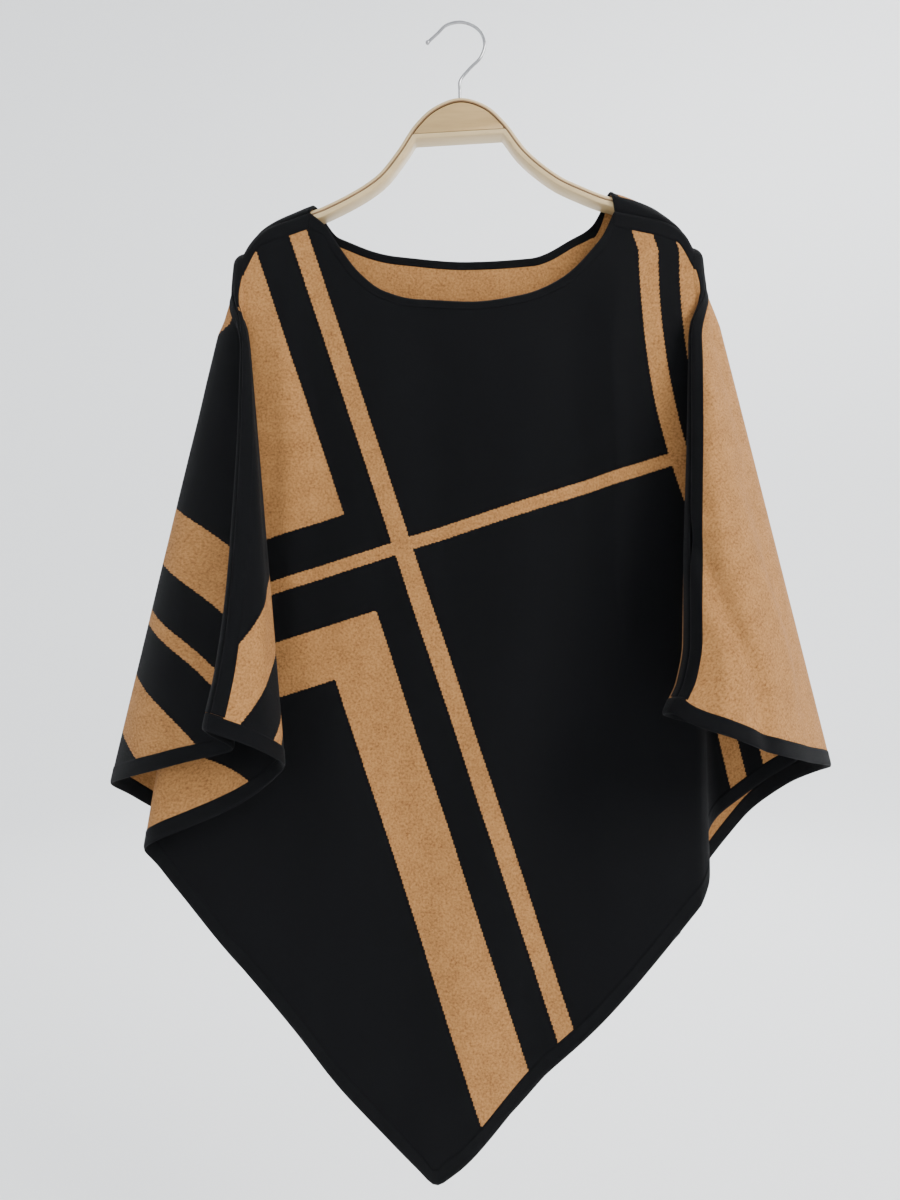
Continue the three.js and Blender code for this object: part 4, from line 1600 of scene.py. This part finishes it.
@dataclass
class Cloth:
    """One panel of the garment with the bands that are sewn to it.

    Attributes:
        face: which panel it is.
        outside: the knit's outside.
        inside: the knit's inside.
        band: the bands' knit.
    """

    face: Face
    outside: bpy.types.Material
    inside: bpy.types.Material
    band: bpy.types.Material
    made: list = field(default_factory=list)

    def add(self, node: str, spots: Spots, half: np.ndarray, finishes: Sequence) -> bpy.types.Object:
        """Makes a piece of cloth in the place of a node.

        Args:
            node: the node that it stands for.
            spots: its grid.
            half: half its thickness at each place.
            finishes: the materials outside and inside.

        Returns:
            The piece.
        """
        piece = shell(f"{node}_cloth", spots, half + 0 * spots.second, crease_depth(spots, self.face))
        for finish in finishes:
            piece.data.materials.append(finish)
        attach(piece, "root")
        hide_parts(node)
        self.made.append(piece)
        log.info("%s: %d faces", piece.name, len(piece.data.polygons))
        return piece

    def build(self) -> None:
        cut = Panel(self.face)
        name = self.face.name.lower()
        bands = (self.band, self.band)
        for side_name, side in (("left", LEFT), ("right", RIGHT)):
            self.add(f"{name}_{side_name}_seam_band", seam_band_grid(cut, side), band_profile(SEAM_RIDGE_AT), bands)
        self.add(f"{name}_hem_band", hem_band_grid(cut), band_profile(HEM_RIDGE_AT), bands)
        self.add(f"{name}_neck_band", neck_band_grid(cut), band_profile(SEAM_RIDGE_AT), bands)
        half = np.array([[CLOTH_THICK / 2]])
        panel = self.add(f"{name}_panel", panel_grid(cut), half, (self.outside, self.inside))


def spaced_points(points: Sequence, steps: int) -> np.ndarray:
    """Runs a smooth curve through points and spaces new points evenly along it.

    Args:
        points: x and z of the points.
        steps: how many steps the curve is cut into.

    Returns:
        x and z of the new points.
    """
    given = np.array(points, dtype=float)
    given = np.vstack([2 * given[0] - given[1], given, 2 * given[-1] - given[-2]])
    dense = []
    for k in range(1, len(given) - 2):
        p0, p1, p2, p3 = given[k - 1:k + 3]
        d0, d1, d2 = (math.sqrt(np.linalg.norm(b - a)) for a, b in ((p0, p1), (p1, p2), (p2, p3)))
        t1 = ((p1 - p0) / d0 - (p2 - p0) / (d0 + d1) + (p2 - p1) / d1) * d1
        t2 = ((p2 - p1) / d1 - (p3 - p1) / (d1 + d2) + (p3 - p2) / d2) * d1
        t = np.linspace(0, 1, CURVE_SAMPLES, endpoint=False)[:, None]
        h = (2 * t ** 3 - 3 * t ** 2 + 1, t ** 3 - 2 * t ** 2 + t, 3 * t ** 2 - 2 * t ** 3, t ** 3 - t ** 2)
        dense.append(h[0] * p1 + h[1] * t1 + h[2] * p2 + h[3] * t2)
    line = np.vstack([*dense, given[-2]])
    length = np.concatenate([[0], np.cumsum(np.linalg.norm(np.diff(line, axis=0), axis=1))])
    at = np.linspace(0, length[-1], steps + 1)
    return np.stack([np.interp(at, length, line[:, k]) for k in (0, 1)], axis=1)


def arm_top(x: float) -> tuple:
    """Gives the top of the bar under the cloth.

    Args:
        x: where along the hanger.

    Returns:
        x and z of its middle line.
    """
    side = HANGER_DEPTH / 2
    rise = math.sqrt(CAP_RADIUS ** 2 - side ** 2)
    slope = float(ridge(np.array(x + 1.0)) - ridge(np.array(x - 1.0))) / 2
    cloth = CAD_BAND_THICK / 2 * math.hypot(1, slope, side / rise)
    return x, float(ridge(np.array(float(x)))) - (CAP_RADIUS - rise) - cloth - SEAT_GAP + EDGE_DROP


@dataclass
class Hanger:
    """The bent wood hanger and its hook.

    Attributes:
        strip: the strips' finish.
        groove: the painted shade on the strips' edges along the groove, a darker wood.
        block: the block's finish.
        wire: the hook's finish.
    """

    strip: bpy.types.Material
    groove: bpy.types.Material
    block: bpy.types.Material
    wire: bpy.types.Material

    def place(self, node: str, points: np.ndarray, faces: list, finishes: Sequence,
              shown: Sequence = ()) -> None:
        """Makes a piece of the hanger in the place of a node.

        Args:
            node: the node that it stands for.
            points: its corners, in millimetres.
            faces: its faces.
            finishes: its materials.
            shown: which material each face has, or nothing where all have the first.
        """
        mesh = bpy.data.meshes.new(f"{node}_piece")
        mesh.from_pydata((points * MM).tolist(), [], faces)
        for finish in finishes:
            mesh.materials.append(finish)
        if shown:
            mesh.polygons.foreach_set("material_index", shown)
        mesh.polygons.foreach_set("use_smooth", np.ones(len(faces), dtype=bool))
        mesh.validate()
        mesh.set_sharp_from_angle(angle=math.radians(HANGER_SHARP))
        piece = bpy.data.objects.new(f"{node}_piece", mesh)
        bpy.context.scene.collection.objects.link(piece)
        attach(piece, "root")
        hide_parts(node)
        log.info("%s: %d faces", piece.name, len(faces))

    def below(self, line: np.ndarray, depth: float) -> np.ndarray:
        """Moves the bar's top line down, square to itself.

        Args:
            line: x and z of the top line.
            depth: how far.

        Returns:
            x and z of the moved line.
        """
        ahead = np.gradient(line, axis=0)
        ahead = ahead / np.linalg.norm(ahead, axis=1, keepdims=True)
        return line + depth * np.stack([ahead[:, 1], -ahead[:, 0]], axis=1)

    def under_block(self, line: np.ndarray, drop: float) -> np.ndarray:
        """Keeps a line under the block's flat base.

        Args:
            line: x and z of the line.
            drop: how far under the base.

        Returns:
            x and z of the kept line.
        """
        base = BLOCK_BASE + BLOCK_SLOPE * line[:, 0] - drop
        return np.stack([line[:, 0], np.minimum(line[:, 1], base)], axis=1)

    def bar(self, node: str, upper: np.ndarray, lower: np.ndarray, section: Sequence, grooved: Sequence) -> None:
        """Carries a section along two lines.

        Args:
            node: the node that the bar stands for.
            upper: x and z of the upper line.
            lower: x and z of the lower line.
            section: the section, as the place across and the depth below the upper line.
            grooved: the section's sides that border the groove.
        """
        from_end = np.minimum(upper[:, 0] - upper[0, 0], upper[-1, 0] - upper[:, 0])
        narrow = lerp(END_DEPTH, 1, np.sin(math.pi / 2 * np.clip(from_end / END_ROUND, 0, 1)))
        rings = []
        for across, down in section:
            middle = lerp(upper, lower, down / STRIP_THICK)
            rings.append(np.stack([middle[:, 0], across * narrow, middle[:, 1]], axis=1))
        points = np.stack(rings, axis=1)
        count = len(section)
        faces = [tuple(range(count))[::-1], tuple(range((len(upper) - 1) * count, len(upper) * count))]
        shown = [0, 0]
        for k in range(len(upper) - 1):
            for side in range(count):
                a, b = k * count + side, k * count + (side + 1) % count
                faces.append((a, b, b + count, a + count))
                # Sides that border the groove take the second finish, the painted shade.
                shown.append(1 if side in grooved else 0)
        self.place(node, points.reshape(-1, 3), faces, (self.strip, self.groove), shown)

    def build(self) -> None:
        """Makes the two strips, the block and the hook."""
        line = spaced_points(
            [*map(arm_top, LEFT_ARM_AT), *ARCH_TOP, *map(arm_top, RIGHT_ARM_AT)], ARM_STEPS)
        self.bar("hanger_upper_strip", self.below(line, 0), self.below(line, STRIP_THICK), UPPER_SECTION,
                 UPPER_GROOVED)
        start = STRIP_THICK + STRIP_GROOVE
        upper = self.under_block(self.below(line, start), STRIP_GROOVE)
        lower = self.under_block(self.below(line, start + STRIP_THICK), STRIP_GROOVE + STRIP_THICK)
        self.bar("hanger_lower_strip", upper, lower, LOWER_SECTION, LOWER_GROOVED)
        self.add_block(self.below(line, start))
        self.add_hook()

    def add_block(self, line: np.ndarray) -> None:
        """Makes the block under the arch.

        Args:
            line: x and z of the arch over it.
        """
        base = BLOCK_BASE + BLOCK_SLOPE * line[:, 0]
        arch = line[line[:, 1] > base + STRIP_GROOVE]
        ends = [(p[0], BLOCK_BASE + BLOCK_SLOPE * p[0]) for p in (arch[-1], arch[0])]
        outline = np.vstack([arch, ends])
        middle = outline.mean(axis=0)
        rings = []
        for across, inset in BLOCK_SECTION:
            pulled = middle + (outline - middle) * (1 - inset / np.linalg.norm(outline - middle, axis=1, keepdims=True))
            rings.append(np.stack([pulled[:, 0], np.full(len(outline), across), pulled[:, 1]], axis=1))
        count = len(outline)
        faces = [tuple(range(count)), tuple(range((len(rings) - 1) * count, len(rings) * count))[::-1]]
        for k in range(len(rings) - 1):
            for side in range(count):
                a, b = k * count + side, k * count + (side + 1) % count
                faces.append((a, a + count, b + count, b))
        self.place("hanger_block", np.vstack(rings), faces, (self.block,))

    def add_hook(self) -> None:
        """Makes the bent wire and the ball at its end."""
        line = spaced_points(HOOK_PATH, HOOK_STEPS)
        ahead = np.gradient(line, axis=0)
        ahead = ahead / np.linalg.norm(ahead, axis=1, keepdims=True)
        turns = 2 * math.pi * np.arange(WIRE_SIDES) / WIRE_SIDES
        end = line[-1]
        arc = np.linspace(0, math.pi, WIRE_SIDES // 2 + 1)[1:]
        centres = [*line[:-1], *[end - ahead[-1] * BALL / 2 * math.cos(a) for a in arc]]
        radii = [WIRE / 2] * (len(line) - 1) + [BALL / 2 * math.sin(a) for a in arc]
        ways = [*ahead[:-1], *[ahead[-1]] * len(arc)]
        radii[-1] = BALL_TIP
        rings = []
        for centre, radius, way in zip(centres, radii, ways):
            side = np.array([way[1], -way[0]])
            rings.append(np.stack([
                centre[0] + radius * np.cos(turns) * side[0],
                radius * np.sin(turns),
                centre[1] + radius * np.cos(turns) * side[1],
            ], axis=1))
        count = WIRE_SIDES
        faces = [tuple(range(count)), tuple(range((len(rings) - 1) * count, len(rings) * count))[::-1]]
        for k in range(len(rings) - 1):
            for turn in range(count):
                a, b = k * count + turn, k * count + (turn + 1) % count
                faces.append((a, a + count, b + count, b))
        self.place("hanger_hook", np.vstack(rings), faces, (self.wire,))


@dataclass
class Studio:
    """The floor, the light and the camera."""

    def add_floor(self) -> None:
        """Makes a wide pale floor that curves up into a wall far behind, the same from all sides."""
        turns = 2 * math.pi * np.arange(FLOOR_SIDES) / FLOOR_SIDES
        profile = [(0.02, 0.0), (FLOOR_FLAT, 0.0)]
        for step in range(1, FLOOR_BENDS + 1):
            bend = math.pi / 2 * step / FLOOR_BENDS
            profile.append((FLOOR_FLAT + FLOOR_ROUND * math.sin(bend), FLOOR_ROUND * (1 - math.cos(bend))))
        profile.append((FLOOR_FLAT + FLOOR_ROUND, WALL_HEIGHT))
        corners = []
        for radius, height in profile:
            for turn in turns:
                corners.append((radius * math.cos(turn), radius * math.sin(turn), FLOOR_HEIGHT + height))
        faces = [tuple(range(FLOOR_SIDES))]
        for k in range(len(profile) - 1):
            for side in range(FLOOR_SIDES):
                a, b = k * FLOOR_SIDES + side, k * FLOOR_SIDES + (side + 1) % FLOOR_SIDES
                faces.append((a, a + FLOOR_SIDES, b + FLOOR_SIDES, b))
        mesh = bpy.data.meshes.new("floor")
        mesh.from_pydata(corners, [], faces)
        mesh.polygons.foreach_set("use_smooth", np.ones(len(faces), dtype=bool))
        graph = Graph("floor")
        graph.shader.inputs["Base Color"].default_value = FLOOR_COLOR
        graph.shader.inputs["Roughness"].default_value = 0.9
        mesh.materials.append(graph.material)
        floor = bpy.data.objects.new("floor", mesh)
        bpy.context.scene.collection.objects.link(floor)

    def add_light(self, name: str, at: tuple, toward: tuple, size: float, power: float, color: tuple) -> None:
        """Adds a soft light.

        Args:
            name: its name.
            at: where it stands, in metres.
            toward: the point that it faces.
            size: its width and height.
            power: its power in watts.
            color: its colour.
        """
        light = bpy.data.lights.new(name, "AREA")
        light.shape = "SQUARE"
        light.size = size
        light.energy = power
        light.color = color
        lamp = bpy.data.objects.new(name, light)
        lamp.location = at
        way = np.array(toward) - np.array(at)
        lamp.rotation_euler = (
            math.atan2(math.hypot(way[0], way[1]), -way[2]),
            0,
            math.atan2(way[1], way[0]) - math.pi / 2,
        )
        bpy.context.scene.collection.objects.link(lamp)

    def add_camera(self) -> None:
        """Puts the camera where the photograph was taken from."""
        data = bpy.data.cameras.new("camera")
        data.sensor_fit = "VERTICAL" if IMAGE[1] > IMAGE[0] else "HORIZONTAL"
        data.angle = 2 * math.atan(COVERED_HEIGHT / 2 / -CAMERA_AT[1])
        data.clip_start = 0.01
        data.clip_end = 50
        camera = bpy.data.objects.new("camera", data)
        camera.location = [value * MM for value in CAMERA_AT]
        camera.rotation_euler = (math.pi / 2, 0, 0)
        bpy.context.scene.collection.objects.link(camera)
        bpy.context.scene.camera = camera

    def build(self) -> None:
        """Makes the whole studio."""
        self.add_floor()
        middle = (0, 0, -0.55)
        self.add_light("key", (1.9, -1.6, 0.7), middle, 1.3, 88, (1, 0.99, 0.97))
        self.add_light("fill", (-1.2, -2.2, 0.2), middle, 2.0, 8, (0.96, 0.98, 1))
        self.add_light("back", (0.2, 2.2, 0.8), middle, 2.0, 40, (1, 1, 1))
        self.add_light("wall", (1.4, 1.4, 2.6), (0.8, 4.8, -0.3), 2.4, 190, (1, 1, 1))
        world = bpy.data.worlds.new("studio")
        world.use_nodes = True
        background = world.node_tree.nodes["Background"]
        background.inputs[0].default_value = (0.9, 0.92, 0.94, 1)
        background.inputs[1].default_value = 1.55
        bpy.context.scene.world = world
        self.add_camera()


def main() -> None:
    """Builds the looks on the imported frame."""
    logging.basicConfig(level=logging.INFO, format="%(message)s")
    studio = Studio()
    studio.build()
    yarns = Yarns()
    outside = yarns.patterned(Turned.OUTSIDE)
    inside = yarns.patterned(Turned.INSIDE)
    band = yarns.plain("band_knit")
    for face in Face:
        Cloth(face, outside, inside, band).build()
    pale = Wood((0.56, 0.415, 0.215, 1), (0.44, 0.305, 0.14, 1), 90.0)
    grained = Wood((0.45, 0.295, 0.12, 1), (0.29, 0.17, 0.062, 1), 160.0)
    # Painted shade: a dark wood on the strips' edges along the groove stands for the shadow in the gap between the
    # strips.
    groove_shade_wood = Wood((0.21, 0.115, 0.045, 1), (0.14, 0.075, 0.03, 1), 90.0)
    Hanger(
        pale.material("pale_strip", 0.2),
        groove_shade_wood.material("groove_painted_shade", 0.2),
        grained.material("grain_block", 0.12),
        wire_material(),
    ).build()
    bpy.context.view_layer.update()


if __name__ == "__main__":
    main()
